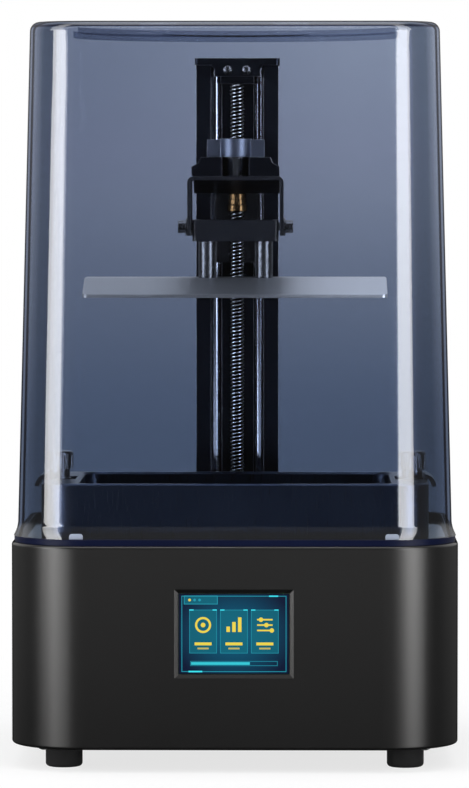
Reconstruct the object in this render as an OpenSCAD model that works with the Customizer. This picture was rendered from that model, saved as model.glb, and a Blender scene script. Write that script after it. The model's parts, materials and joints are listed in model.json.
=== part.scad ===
// Desktop resin printer: a base housing with a masked light engine under a resin vat,
// a single-column lift that carries the build platform, and a tinted lift-off cover.
// X runs left to right, Y front to back, Z up. The origin is on the floor under the middle.

/* [Build area] */
// Width of the build plate
plate_w = 160; // [145:1:175]
// Depth of the build plate
plate_d = 94; // [88:1:104]
// Gap between the build plate and the vat's side walls
pool_gap_x = 2.5; // [2:0.1:4]
// Gap between the build plate and the vat's front and rear walls
pool_gap_y = 2; // [1.5:0.1:3]
// Width of the vat's rims at its sides, where the thumb screws stand
side_rim = 19.5; // [18.5:0.1:22]
// Width of the vat's rims at its front and its rear
front_rim = 4.5; // [4:0.1:6]

/* [Base housing] */
// Gap between the vat's side and the housing's side
side_gap = 15.25; // [14:0.05:24]
// Gap between the vat's front and the housing's front
front_gap = 30; // [26:0.5:36]
// Gap between the vat's rear and the column
column_gap = 15.6; // [15:0.1:18]
// Gap between the column's rear and the housing's rear
rear_gap = 46.6; // [42:0.1:60]
// Radius of the upright corners
corner_r = 40; // [30:1:50]
// Height of the base housing above its feet
base_h = 106; // [100:1:130]
// Wall of the base housing
base_wall = 2.5; // [2:0.1:3.5]
// Rounding of the housing's top and bottom edges
base_edge_r = 1.5; // [0.5:0.1:2]
// Thickness of the deck plate
deck_t = 3; // [2.5:0.1:4]
// Thickness of the sheet that closes the bottom
bottom_t = 1.5; // [1:0.1:2.5]

/* [Feet] */
// Height of a rubber foot
foot_h = 12; // [8:0.5:20]
// Diameter of a rubber foot
foot_d = 19.4; // [16:0.1:24]
// Distance from the housing's side to a foot's middle
foot_inset_x = 27.65; // [26:0.05:40]
// Distance from the housing's front or rear to a foot's middle
foot_inset_y = 33.1; // [30:0.1:45]

/* [Cover] */
// Height of the cover's top above the deck
cover_rise = 272; // [268:1:300]
// Wall of the cover
cover_wall = 2.5; // [2:0.1:3]
// How far the cover's side leans in from its flare to its top
cover_lean = 6.6; // [3:0.1:10]
// How far the cover's foot flares out
cover_flare = 2.3; // [1:0.1:2.6]
// Height of the flare
flare_h = 8.5; // [6:0.1:12]
// Rounding between the cover's side and its top
cover_edge_r = 5; // [3.5:0.1:8]
// Height of the seal under the cover's foot
seal_h = 3.3; // [2.5:0.1:5]
// Gap that the seal's outer edge keeps from the housing's side
seal_inset = 1.1; // [0.5:0.1:2]
// Diameter of the round dish in the cover's top
dish_d = 170.6; // [120:0.1:176]
// Depth of that dish
dish_depth = 3.7; // [2:0.1:5]
// Diameter of the shallow ring inside the dish
dish_ring_d = 78.8; // [50:0.1:110]

/* [Column] */
// Width of the column extrusion
column_w = 45; // [45:0.5:54]
// Depth of the column extrusion
column_d = 30; // [28:0.5:36]
// Height of the cover's top above the column
head_room = 20; // [14:0.5:24]
// Diameter of a guide rod
rod_d = 6; // [5:0.5:6.5]
// Distance between the axes of the guide rods
rod_span = 24.4; // [24:0.1:26]
// Thickness of the plate on top of the column
cap_t = 3.8; // [3:0.1:5]

/* [Lead screw] */
// Outer diameter of the lead screw
screw_d = 8; // [7:0.5:8.5]
// Distance between neighbouring thread crests
thread_pitch = 2; // [2:1:4]
// How far the lead screw's free end stays under the column's top
screw_short = 9.7; // [7:0.1:14]
// Radial clearance of a running fit
run_gap = 0.06; // [0.03:0.01:0.09]

/* [Platform] */
// Height of the platform's face above the deck, as parked
plate_lift = 127.8; // [125:0.1:130]
// Thickness of the build plate at its ridge
plate_t = 9.7; // [7:0.1:10]
// Thickness of the build plate's rim
plate_lip = 1.8; // [1:0.1:3]
// Depth of the flat ridge on the build plate
ridge_d = 38; // [34:1:60]
// Diameter of a post
post_d = 9.3; // [8:0.1:11]
// Height of a post
post_h = 19.5; // [16:0.1:22]
// Distance between the left and the right posts
post_span = 30; // [28:0.1:31]
// Width of the inner tray of the platform's head
tray_w = 45.6; // [45:0.1:50]
// Depth of the inner tray
tray_d = 38; // [34:1:42]
// Height of the inner tray
tray_h = 11.2; // [10:0.1:14]
// Sheet thickness of the platform's brackets
sheet_t = 2; // [1.5:0.1:2.5]
// Height of the outer bracket's top above the inner tray's floor
bracket_rise = 34.3; // [32:0.1:37]
// Gap between the tray and the bracket around it
bracket_gap = 0.7; // [0.4:0.1:0.9]
// Height of the fork arm at its front
fork_t = 10; // [8:0.1:12]
// Diameter of the collar between the bracket and the knob
collar_d = 13.8; // [12:0.1:16]
// Diameter of the knob's hub
hub_d = 17.2; // [15.5:0.1:20]
// Span of the knob's two wings
wing_span = 30.5; // [26:0.5:36]
// Height of the knob's head
knob_h = 9.6; // [8:0.1:12]

/* [Vat] */
// Height of the resin vat
vat_h = 30.5; // [26:0.5:33]
// Radius of the vat's upright corners
vat_r = 16; // [10:0.5:20]
// Distance from the vat's side to a thumb screw's axis
thumb_inset = 7.9; // [7.8:0.1:8.4]
// Diameter of a thumb screw's head
thumb_d = 14.7; // [12:0.1:15.5]
// Thickness of the release film
film_t = 0.3; // [0.2:0.05:0.5]

/* [Display and sockets] */
// Width of the opening for the display
display_w = 61.8; // [58:0.1:66]
// Height of the opening for the display
display_h = 46.2; // [42:0.1:50]
// Width of the bevel round that opening
bezel_w = 1.9; // [1:0.1:2.5]
// Height of the display's middle above the housing's bottom
display_rise = 60.6; // [50:0.1:70]
// Width of the opening for the USB socket
usb_w = 14; // [13.5:0.1:16]
// Height of the opening for the USB socket
usb_h = 7; // [6.5:0.1:8]
// Size of the cooling fan
fan_size = 60; // [60:1:62]

/* [Hidden] */
$fn = 72;

// Clearances that the pieces share
seat = 0.2;
snug = 0.1;

// Plan, worked out from the build plate outward
pool_w = plate_w + 2 * pool_gap_x;
pool_d = plate_d + 2 * pool_gap_y;
vat_w = pool_w + 2 * side_rim;
vat_d = pool_d + 2 * front_rim;
base_w = vat_w + 2 * side_gap;
base_d = front_gap + vat_d + column_gap + column_d + rear_gap;
vat_y = -base_d / 2 + front_gap + vat_d / 2;
column_y = vat_y + vat_d / 2 + column_gap;

// Heights
column_h = cover_rise - head_room;
base_z = foot_h;
deck_z = base_z + base_h;
floor_z = base_z + bottom_t;
cover_z = deck_z + seal_h;
top_z = deck_z + cover_rise;
column_top = deck_z + column_h;
plate_z = deck_z + plate_lift;
tray_z = plate_z + plate_t + post_h;
bracket_z = tray_z + bracket_rise;
fork_z = bracket_z + seat;
knob_z = fork_z + fork_t + seat;

// All outlines of the housing and the cover are offsets of one rectangle of corner centres
core_x = base_w / 2 - corner_r;
core_y = base_d / 2 - corner_r;
inner_r = corner_r - base_wall;
foot_r = corner_r - seal_inset;
side_r = foot_r - cover_flare;
top_r = side_r - cover_lean;

// The light engine, the vat and the platform share one centre line
lcd_w = plate_w;
lcd_d = plate_d + 5;
lcd_t = 1.4;
lcd_proud = 0.2;
window_w = lcd_w - 12;
window_d = lcd_d - 7;

// The lead screw stands in front of the guide rods
screw_y = column_y - 3;
rod_y = column_y + 2.2 + rod_d / 2;
channel_w = rod_span + rod_d + 0.4;
channel_d = column_d - 10;
lip_t = 2;
lip_open = 28.6;

// Carriage
block_h = 58;
block_z = fork_z + fork_t - block_h + 0.5;
block_d = 6.8;
block_front = column_y + 1.7;
root_h = 19.5;
arm_back = column_y - 0.6;
arm_front = vat_y - 19;

// ---- shared shapes ----

// Sweeps a profile (distance from the corner centre, height) round a rounded rectangle
module ring_sweep(cx = core_x, cy = core_y) {
    for (turn = [0:3]) {
        along = turn % 2 == 0 ? cx : cy;
        across = turn % 2 == 0 ? cy : cx;
        rotate(90 * turn) {
            translate([along, across, 0])
                rotate_extrude(angle = 90) children();
            translate([along, 0, 0]) rotate([90, 0, 0])
                linear_extrude(height = 2 * across, center = true) children();
        }
    }
}

// Plate with true round corners, standing on z = 0
module round_plate(w, d, r, h) {
    translate([-w / 2, -d / 2 + r, 0]) cube([w, d - 2 * r, h]);
    translate([-w / 2 + r, -d / 2, 0]) cube([w - 2 * r, d, h]);
    for (sx = [-1, 1], sy = [-1, 1])
        translate([sx * (w / 2 - r), sy * (d / 2 - r), 0]) cylinder(r = r, h = h);
}

// Upright block centred in plan
module block(w, d, h) {
    translate([-w / 2, -d / 2, 0]) cube([w, d, h]);
}

// Plate that fills the housing's outline out to an offset
module deck_slab(offset_r, z0, h) {
    translate([0, 0, z0]) {
        block(2 * core_x, 2 * core_y, h);
        ring_sweep() square([offset_r, h]);
    }
}

// Button-head screw along -Z, its head standing on z = 0
module button_screw(head_d, head_h, shank_d, length) {
    difference() {
        rotate_extrude() {
            square([head_d / 2, head_h * 0.45]);
            translate([0, head_h * 0.45]) intersection() {
                scale_dome(head_d / 2, head_h * 0.55);
                square([head_d, head_d]);
            }
        }
        translate([0, 0, head_h * 0.4]) cylinder(d = shank_d * 0.62, h = head_h, $fn = 6);
    }
    translate([0, 0, -length]) cylinder(d = shank_d, h = length + 0.01);
}

// Circle segment of a given half width and height, resting on the x axis
module scale_dome(half, rise) {
    radius = (half * half + rise * rise) / (2 * rise);
    translate([0, rise - radius]) circle(r = radius);
}

// ---- base housing ----

display_z = base_z + display_rise;
wall_front = -base_d / 2 + base_wall;
wall_rear = base_d / 2 - base_wall;
wall_right = base_w / 2 - base_wall;
ledge = 3;
ledge_h = 2.5;
bezel_depth = base_wall / 2;
window_x = display_w - 2 * bezel_w;
window_z = display_h - 2 * bezel_w;
fan_x = -(core_x - fan_size / 2 - 1);
fan_z = base_z + 50;
fan_depth = 15;
fan_bore = fan_size - 4;
grille_pitch = 5.6;
usb_y = 40;
usb_z = base_z + 46;
panel_w = 60;
panel_h = 26;
panel_x = core_x - panel_w / 2 - 5.25;
panel_z = base_z + 42;
panel_sink = 5;
panel_y = base_d / 2 - panel_sink;
inlet_x = panel_x - 16;
switch_x = panel_x + 13;
case_screw_r = inner_r - 6;

// Places of the four case screws, near the upright corners
module at_case_screws() {
    for (sx = [-1, 1], sy = [-1, 1])
        translate([sx * (core_x + case_screw_r / sqrt(2)), sy * (core_y + case_screw_r / sqrt(2)), 0])
            children();
}

module at_feet() {
    for (sx = [-1, 1], sy = [-1, 1])
        translate([sx * (base_w / 2 - foot_inset_x), sy * (base_d / 2 - foot_inset_y), 0]) children();
}

// Cutter that rounds an outer corner of a profile; the corner points to +X +Y
module round_off(r) {
    translate([-r, -r]) difference() {
        square(r + 1);
        circle(r = r);
    }
}

// Cutter that widens along +Z with mitred corners
module flared_cut(w, h, spread, depth) {
    intersection() {
        rotate([90, 0, 0]) linear_extrude(height = 2 * h, center = true)
            polygon([[-w / 2, 0], [w / 2, 0], [w / 2 + spread, depth], [-w / 2 - spread, depth]]);
        rotate([90, 0, 90]) linear_extrude(height = 2 * w, center = true)
            polygon([[-h / 2, 0], [h / 2, 0], [h / 2 + spread, depth], [-h / 2 - spread, depth]]);
    }
}

// Bevelled opening for the display
module display_opening() {
    run_out = 1;
    translate([0, -base_d / 2 + bezel_depth, display_z]) rotate([90, 0, 0])
        flared_cut(window_x, window_z, bezel_w * (1 + run_out / bezel_depth), bezel_depth + run_out);
    translate([0, -base_d / 2 + 2 * base_wall, display_z])
        rotate([90, 0, 0]) round_plate(window_x, window_z, 0.6, 4 * base_wall);
}

module shell_profile() {
    difference() {
        translate([inner_r, base_z]) square([base_wall, base_h]);
        translate([corner_r, deck_z]) round_off(base_edge_r);
        translate([corner_r, base_z]) mirror([0, 1]) round_off(base_edge_r);
    }
    for (z = [base_z + bottom_t, deck_z - deck_t - ledge_h])
        translate([inner_r - ledge, z]) square([ledge + 0.01, ledge_h]);
}

// Sunk panel in the rear wall for the mains-side sockets
module rear_panel_box() {
    depth = panel_sink + base_wall;
    translate([panel_x, base_d / 2 - depth, panel_z])
        rotate([-90, 0, 0]) round_plate(panel_w + 2 * base_wall, panel_h + 2 * base_wall, 3, depth - 0.5);
}

module grille_slots() {
    rows = floor(fan_bore / grille_pitch);
    intersection() {
        translate([fan_x, wall_rear - 1, fan_z])
            rotate([-90, 0, 0]) cylinder(d = fan_bore, h = base_wall + 2);
        union() for (i = [0:rows - 1])
            translate([fan_x, wall_rear, fan_z + (i - (rows - 1) / 2) * grille_pitch])
                cube([fan_bore, 4 * base_wall, grille_pitch * 0.55], center = true);
    }
}

module base_shell() {
    color("#2c2d2f") difference() {
        union() {
            ring_sweep() shell_profile();
            at_case_screws() translate([0, 0, floor_z]) cylinder(d = 9, h = 20);
            rear_panel_box();
        }
        display_opening();
        translate([wall_right, usb_y, usb_z]) cube([4 * base_wall, usb_w, usb_h], center = true);
        translate([panel_x, panel_y, panel_z])
            rotate([-90, 0, 0]) round_plate(panel_w, panel_h, 2, 2 * panel_sink);
        translate([inlet_x, panel_y + 1, panel_z]) rotate([90, 0, 0]) cylinder(d = inlet_d, h = 9);
        translate([switch_x, panel_y, panel_z]) cube([switch_w, 9, switch_h], center = true);
        at_case_screws() translate([0, 0, base_z]) cylinder(d = 3.02, h = 17);
        grille_slots();
    }
}

// Sheet-metal bottom with air slots under the heat sink
module bottom_plate() {
    slots = 13;
    color("#3a3b3d") difference() {
        deck_slab(inner_r - snug, base_z, bottom_t);
        at_feet() translate([0, 0, base_z - 1]) cylinder(d = 4.3, h = bottom_t + 2);
        at_case_screws() translate([0, 0, base_z - 1]) cylinder(d = 3.4, h = bottom_t + 2);
        for (i = [0:slots - 1])
            translate([(i - (slots - 1) / 2) * 7, vat_y, base_z + bottom_t / 2])
                cube([2.6, 52, bottom_t * 3], center = true);
    }
}

module rubber_feet() {
    round_r = 2;
    color("#161617") at_feet() rotate_extrude() difference() {
        square([foot_d / 2, foot_h]);
        translate([foot_d / 2, 0]) mirror([0, 1]) round_off(round_r);
        translate([-1, -1]) square([1 + 4.6, foot_h / 2 + 1]);
        square([2.15, foot_h + 1]);
    }
}

module bottom_screws() {
    color("#8d9094") {
        at_feet() translate([0, 0, foot_h / 2]) rotate([180, 0, 0])
            button_screw(7.6, 2.6, 4, foot_h / 2 + bottom_t + 3);
        at_case_screws() translate([0, 0, base_z]) rotate([180, 0, 0]) button_screw(5.6, 1.8, 3, 12);
    }
}

module foot_screws() {
    bottom_screws();
}

// Glossy deck with the rebate for the masking screen
module deck_plate() {
    color("#0e0f12") difference() {
        deck_slab(inner_r - snug, deck_z - deck_t, deck_t);
        translate([0, vat_y, deck_z - lcd_t + lcd_proud]) block(lcd_w + 0.4, lcd_d + 0.4, deck_t);
        translate([0, vat_y, deck_z - deck_t - 1]) block(window_w, window_d, deck_t + 2);
        translate([0, screw_y, deck_z - deck_t - 1]) cylinder(d = screw_d + 5, h = deck_t + 2);
        for (sx = [-1, 1]) translate([sx * thumb_x, vat_y, deck_z - deck_t - 1])
            cylinder(d = thumb_shank + 2 * run_gap, h = deck_t + 2);
    }
}

// ---- display, sockets and switch ----

glass_recess = 0.1;
glass_gap = 0.3;
can_t = 4;
inlet_d = 11;
switch_w = 19;
switch_h = 13;

module touch_glass() {
    color("#12333f") translate([0, wall_front, display_z]) rotate([90, 0, 0])
        round_plate(window_x - 2 * glass_gap, window_z - 2 * glass_gap, 0.5,
                    base_wall - bezel_depth - glass_recess);
}

module display_module() {
    color("#27503a") {
        translate([0, wall_front + can_t, display_z]) rotate([90, 0, 0])
            round_plate(display_w + 8, display_h + 5, 1.5, can_t);
        difference() {
            translate([0, wall_front + can_t + 1.6, display_z]) rotate([90, 0, 0])
                round_plate(display_w + 24, display_h + 8, 2, 1.6);
            for (sx = [-1, 1], sz = [-1, 1])
                translate([sx * (display_w / 2 + 8), wall_front, display_z + sz * (display_h / 2)])
                    rotate([-90, 0, 0]) cylinder(d = 3, h = 10);
        }
        translate([-12, wall_front + can_t + 1.6, display_z - 14]) cube([24, 4, 6]);
    }
}

module dc_inlet() {
    body_d = inlet_d - 0.2;
    bore_d = 6.4;
    pin_d = 2;
    pin_l = 10;
    flange_t = 2;
    color("#1b1c1e") translate([inlet_x, panel_y, panel_z]) rotate([90, 0, 0]) {
        difference() {
            union() {
                translate([0, 0, -flange_t]) cylinder(d = inlet_d + 3, h = flange_t);
                cylinder(d = body_d, h = 13);
            }
            translate([0, 0, -flange_t - 1]) cylinder(d = bore_d, h = flange_t + pin_l);
        }
        translate([0, 0, 1 - flange_t]) cylinder(d = pin_d, h = pin_l + 1);
    }
}

module usb_port() {
    shell_w = usb_w - 0.9;
    shell_h = usb_h - 1.3;
    shell_l = 14;
    skin = 0.35;
    mouth = base_w / 2 - 0.2;
    color("#b9bcc0") translate([mouth - shell_l, usb_y, usb_z]) {
        difference() {
            translate([0, -shell_w / 2, -shell_h / 2]) cube([shell_l, shell_w, shell_h]);
            translate([2, -shell_w / 2 + skin, -shell_h / 2 + skin])
                cube([shell_l, shell_w - 2 * skin, shell_h - 2 * skin]);
        }
        translate([1, -shell_w / 2 + 1.2, 0.2]) cube([9, shell_w - 2.4, 1.9]);
    }
    color("#1f5a3c") translate([wall_right - 20, usb_y - 13, usb_z - shell_h / 2 - 1.6])
        cube([20, 26, 1.6]);
}

rocker_y = panel_y - 2.1;
rocker_half = 7.2;
rocker_tilt = 7;

module switch_housing() {
    color("#101113") difference() {
        union() {
            translate([switch_x, panel_y + 0.75, panel_z])
                cube([switch_w + 2, 1.5, switch_h + 2], center = true);
            translate([switch_x - switch_w / 2 + 0.2, panel_y - 16, panel_z - switch_h / 2 + 0.2])
                cube([switch_w - 0.4, 16.1, switch_h - 0.4]);
        }
        translate([switch_x - rocker_half - 0.6, panel_y - 9, panel_z - 5.4])
            cube([2 * rocker_half + 1.2, 20, 10.8]);
    }
    for (sx = [-1, 1]) color("#c9b37a")
        translate([switch_x + sx * 4 - 2.4, panel_y - 24, panel_z - 0.4]) cube([4.8, 8, 0.8]);
}

// Rocker key, tilted to its off side
module power_rocker() {
    color("#202124") translate([switch_x, rocker_y, panel_z]) rotate([0, 0, -rocker_tilt])
        linear_extrude(height = 10, center = true)
            polygon([
                [-rocker_half, -2], [-rocker_half, 3.4], [0, 2.2],
                [rocker_half, 3.4], [rocker_half, -2], [0, -4.5]
            ]);
}

// ---- light engine ----

sink_w = 100;
sink_d = 80;
sink_z = floor_z + 8.5;
sink_h = 24.4;
board_t = 1.6;
led_z = sink_z + sink_h;
hood_z = led_z + board_t;
hood_top = deck_z - deck_t;
rim_h = 7;
hood_wall = 2;
cone_w = window_w - 6;
cone_d = window_d - 6;
neck_w = 64;
neck_d = 54;

module mask_lcd() {
    color("#14161c") translate([0, vat_y, deck_z + lcd_proud - lcd_t]) {
        block(lcd_w, lcd_d, lcd_t - 0.4);
        block(lcd_w - 8, lcd_d - 4, lcd_t);
    }
}

// Frustum between two rectangles
module taper(w0, d0, w1, d1, h) {
    hull() {
        block(w0, d0, 0.01);
        translate([0, 0, h - 0.01]) block(w1, d1, 0.01);
    }
}

// Reflector hood from the LEDs up to the window
module light_hood() {
    cone_h = hood_top - rim_h - hood_z;
    color("#c7cace") translate([0, vat_y, hood_z]) {
        difference() {
            union() {
                taper(neck_w + 2 * hood_wall, neck_d + 2 * hood_wall,
                      window_w + 2 * hood_wall, window_d + 2 * hood_wall, cone_h);
                translate([0, 0, cone_h]) block(window_w + 2 * hood_wall, window_d + 2 * hood_wall, rim_h);
                block(neck_w + 16, neck_d + 14, 2);
            }
            translate([0, 0, -0.01]) taper(neck_w, neck_d, cone_w, cone_d, cone_h + 0.02);
            translate([0, 0, cone_h]) block(window_w, window_d, rim_h + 1);
        }
    }
}

module fresnel_lens() {
    color("#dfe8ee") translate([0, vat_y, hood_top - rim_h]) block(window_w - 0.4, window_d - 0.4, 2);
}

module uv_led_board() {
    columns = 6;
    rows = 4;
    color("#e9ebe6") translate([0, vat_y, led_z]) {
        block(sink_w, sink_d, board_t);
        for (i = [0:columns - 1], j = [0:rows - 1])
            translate([(i - (columns - 1) / 2) * 9.5, (j - (rows - 1) / 2) * 12, board_t])
                cylinder(d = 4.6, h = 1.3);
    }
}

// Finned heat sink; its two outer fins stand on the bottom plate
module heat_sink() {
    fins = 13;
    fin_t = 2;
    base_t = 5;
    pitch = (sink_w - fin_t) / (fins - 1);
    color("#9b9ea2") translate([0, vat_y, 0]) {
        translate([0, 0, led_z - base_t]) block(sink_w, sink_d, base_t);
        for (i = [0:fins - 1]) {
            low = i == 0 || i == fins - 1 ? floor_z : sink_z;
            translate([-sink_w / 2 + i * pitch, -sink_d / 2, low])
                cube([fin_t, sink_d, led_z - base_t - low + 0.01]);
        }
    }
}

fan_inner = wall_rear - fan_depth;
fan_hub = 26;
fan_pin = 4;
fan_hole_span = fan_size - 10;

// Points from the rear wall into the housing: z = 0 on the wall
module at_fan() {
    translate([fan_x, wall_rear, fan_z]) rotate([90, 0, 0]) children();
}

module fan_frame() {
    strut_t = 2.4;
    color("#1a1b1d") at_fan() {
        difference() {
            union() {
                difference() {
                    round_plate(fan_size, fan_size, 4, fan_depth);
                    translate([0, 0, -1]) cylinder(d = fan_bore, h = fan_depth + 2);
                }
                translate([0, 0, fan_depth - strut_t]) {
                    cylinder(d = fan_hub, h = strut_t);
                    for (a = [45, 135]) rotate(a) translate([-fan_size / 2, -1.5, 0])
                        cube([fan_size, 3, strut_t]);
                }
            }
            for (sx = [-1, 1], sy = [-1, 1])
                translate([sx * fan_hole_span / 2, sy * fan_hole_span / 2, -1])
                    cylinder(d = 4.3, h = fan_depth + 2);
        }
        translate([0, 0, fan_depth - strut_t - 8]) cylinder(d = fan_pin, h = 8.5);
    }
}

module fan_rotor() {
    blades = 7;
    rotor_h = 9.6;
    tip_d = fan_bore - 2;
    color("#26282b") at_fan() translate([0, 0, 2.4]) difference() {
        union() {
            cylinder(d = fan_hub, h = rotor_h);
            intersection() {
                cylinder(d = tip_d, h = rotor_h);
                union() for (i = [0:blades - 1]) rotate(i * 360 / blades)
                    translate([fan_hub / 2 - 1, 0, rotor_h / 2]) rotate([38, 0, 0])
                        translate([0, -1, -rotor_h]) cube([tip_d, 1.6, 2 * rotor_h]);
            }
        }
        translate([0, 0, rotor_h - 8]) cylinder(d = fan_pin + 2 * run_gap, h = 10);
    }
}

board_w = 78;
board_x = wall_right - board_w / 2 - 8.75;
board_front = vat_y + sink_d / 2 + 6.1;
board_rear = wall_rear - 21.1;
board_d = board_rear - board_front;
board_y = (board_front + board_rear) / 2;
board_z = floor_z + 6.5;

module at_board_holes() {
    for (sx = [-1, 1], sy = [-1, 1])
        translate([board_x + sx * (board_w / 2 - 4), board_y + sy * (board_d / 2 - 4), 0]) children();
}

// Control board with its driver, its connectors and its capacitors
module main_board() {
    color("#1f5a3c") {
        difference() {
            translate([board_x, board_y, board_z]) block(board_w, board_d, board_t);
            at_board_holes() translate([0, 0, board_z - 1]) cylinder(d = 3.2, h = 4);
        }
        translate([board_x, board_y, board_z + board_t]) {
            translate([-8, 4, 0]) block(20, 20, 1.4);
            translate([16, -6, 0]) block(14, 14, 6);
            for (i = [-2:2]) translate([i * 12, -board_d / 2 + 4.5, 0]) block(9, 6, 7);
            for (i = [-1:1]) translate([-board_w / 2 + 6, i * 15, 0]) block(6, 11, 8);
            for (i = [0:2]) translate([14 + i * 9, 22, 0]) cylinder(d = 7, h = 9);
        }
    }
}

module board_standoffs() {
    color("#c2a14d") at_board_holes() translate([0, 0, floor_z]) difference() {
        cylinder(d = 6.4, h = board_z - floor_z, $fn = 6);
        translate([0, 0, 2]) cylinder(d = 2.6, h = board_z);
    }
}

// ---- lift: motor, screw and column ----

motor_z = hood_top - 31;
motor_w = 42.3;
motor_l = 40;
shaft_d = 5;
mount_t = 3;
coupling_d = 19;
coupling_l = 25;
coupling_z = motor_z + mount_t + 1;
screw_foot = coupling_z + 13;
bearing_h = 7;
bearing_d = 20;

module at_screw(z) {
    translate([0, screw_y, z]) children();
}

module z_motor() {
    color("#232427") difference() {
        union() {
            at_screw(motor_z - motor_l) {
                round_plate(motor_w, motor_w, 4, 9);
                translate([0, 0, 9]) round_plate(motor_w - 1.6, motor_w - 1.6, 5, motor_l - 18);
                translate([0, 0, motor_l - 9]) round_plate(motor_w, motor_w, 4, 9);
            }
            at_screw(motor_z) cylinder(d = 22, h = 2);
            at_screw(motor_z - motor_l) translate([-8, motor_w / 2 - 1, 1]) cube([16, 6, 7]);
        }
        at_screw(motor_z - 26) cylinder(d = shaft_d + 2 * run_gap, h = 40);
        at_screw(motor_z - 4.5) for (sx = [-1, 1], sy = [-1, 1])
            translate([sx * 15.5, sy * 15.5, 0]) cylinder(d = 3, h = 10);
    }
}

module motor_shaft() {
    color("#c4c7ca") at_screw(motor_z - 25) cylinder(d = shaft_d, h = 25 + mount_t + 12);
}

// Hat-section bracket that hangs the motor under the deck
module motor_mount() {
    inside = motor_w / 2 + 2.85;
    wing = 13;
    depth = motor_w - 6.3;
    reach = motor_w / 2 - 0.15;
    top = hood_top;
    color("#6f7276") difference() {
        union() {
            translate([0, screw_y + reach, 0]) rotate([90, 0, 0]) linear_extrude(height = depth)
                polygon([
                    [-inside - mount_t, motor_z], [inside + mount_t, motor_z],
                    [inside + mount_t, top - mount_t], [inside + wing, top - mount_t], [inside + wing, top],
                    [inside, top], [inside, motor_z + mount_t], [-inside, motor_z + mount_t],
                    [-inside, top], [-inside - wing, top], [-inside - wing, top - mount_t],
                    [-inside - mount_t, top - mount_t]
                ]);
            translate([-inside, screw_y - reach, motor_z]) cube([2 * inside, 10, mount_t]);
        }
        at_screw(motor_z - 1) {
            cylinder(d = 22.4, h = 10);
            for (sx = [-1, 1], sy = [-1, 1]) translate([sx * 15.5, sy * 15.5, 0]) cylinder(d = 3.4, h = 10);
        }
    }
}

module shaft_coupling() {
    slits = 4;
    color("#b4b8bd") at_screw(coupling_z) difference() {
        cylinder(d = coupling_d, h = coupling_l);
        translate([0, 0, -1]) cylinder(d = shaft_d + 0.02, h = coupling_l);
        translate([0, 0, screw_foot - coupling_z - 0.5]) cylinder(d = screw_d + 0.02, h = coupling_l);
        for (i = [0:slits - 1]) translate([0, 0, 8.6 + i * 2.3]) rotate(i * 90)
            translate([-coupling_d, -coupling_d / 2 + 3, 0]) cube([2 * coupling_d, coupling_d, 0.8]);
    }
}

module screw_bearing() {
    ears_y = screw_y - 4.2;
    ears_w = bearing_d + 16;
    ears_d = 12.4;
    ears_t = 3;
    color("#2a2c30") difference() {
        union() {
            at_screw(deck_z) cylinder(d = bearing_d, h = bearing_h);
            translate([0, ears_y, deck_z]) round_plate(ears_w, ears_d, 4, ears_t);
        }
        at_screw(deck_z - 1) cylinder(d = screw_d + 2 * run_gap, h = bearing_h + 2);
        for (sx = [-1, 1]) translate([sx * (ears_w / 2 - 4), ears_y, deck_z - 1])
            cylinder(d = 3.2, h = 2 * ears_t);
    }
}

module column_section() {
    wall_x = (column_w + channel_w) / 4;
    difference() {
        translate([-column_w / 2, column_y]) square([column_w, column_d]);
        translate([-lip_open / 2, column_y - 1]) square([lip_open, lip_t + 2]);
        translate([-channel_w / 2, column_y + lip_t]) square([channel_w, channel_d - lip_t]);
        translate([-8.75, column_y + channel_d - 1]) square([17.5, 4]);
        for (sx = [-1, 1]) {
            translate([sx * wall_x, column_y + 15]) circle(d = 4.2);
            translate([sx * 12.5 - 1.6, column_y + column_d - 2]) square([3.2, 3]);
            translate([sx * 12.5 - 3, column_y + column_d - 5]) square([6, 3.2]);
        }
    }
}

module column() {
    color("#15171c") translate([0, 0, deck_z]) linear_extrude(height = column_h) column_section();
}

// Angle that bolts the column's back to the deck
module column_foot() {
    rear = column_y + column_d;
    wide = column_w - 9;
    leg = 22;
    thick = 4;
    rib_t = 3;
    bolt_x = 8;
    bolt_d = 4.4;
    color("#1d1f23") difference() {
        union() {
            translate([-wide / 2, rear, deck_z]) cube([wide, leg, thick]);
            translate([-wide / 2, rear, deck_z]) cube([wide, thick, leg + 8]);
            for (sx = [-1, 1])
                translate([sx * (wide - rib_t) / 2, rear + thick - 0.01, deck_z + thick - 0.01])
                    rotate([0, 90, 0]) rotate([0, 0, 90]) linear_extrude(height = rib_t, center = true)
                        polygon([[0, 0], [leg - 6, 0], [0, leg]]);
        }
        for (sx = [-1, 1]) {
            translate([sx * bolt_x, rear + leg - 7, deck_z - 1]) cylinder(d = bolt_d, h = thick + 2);
            translate([sx * bolt_x, rear - 1, deck_z + leg])
                rotate([-90, 0, 0]) cylinder(d = bolt_d, h = thick + 2);
        }
    }
}

module at_rods() {
    for (sx = [-1, 1]) translate([sx * rod_span / 2, rod_y, 0]) children();
}

module guide_rods() {
    color("#d7dadd") at_rods() translate([0, 0, deck_z]) cylinder(d = rod_d, h = column_h);
}

holder_h = 10;

// Two saddles behind the rods, at the deck and under the cap; the upper one has a boss for the cap
module rod_holders() {
    depth = column_y + channel_d - snug - rod_y;
    boss_w = rod_span - rod_d - 0.4;
    color("#1d1f23") difference() {
        union() {
            for (z = [deck_z, column_top - holder_h])
                translate([-channel_w / 2 + snug, rod_y, z]) cube([channel_w - 2 * snug, depth, holder_h]);
            translate([-boss_w / 2, column_y, column_top - holder_h])
                cube([boss_w, rod_y - column_y + 1, holder_h]);
        }
        at_rods() translate([0, 0, deck_z - 1]) cylinder(d = rod_d + 0.02, h = column_h + 2);
        at_screw(deck_z - 1) cylinder(d = bearing_d + 0.8, h = holder_h + 2);
        at_cap_screws() translate([0, 0, -9]) cylinder(d = 3.02, h = 11);
    }
}

flange_t = 3;
flange_h = 6.2;
flange_w = 28;

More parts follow.
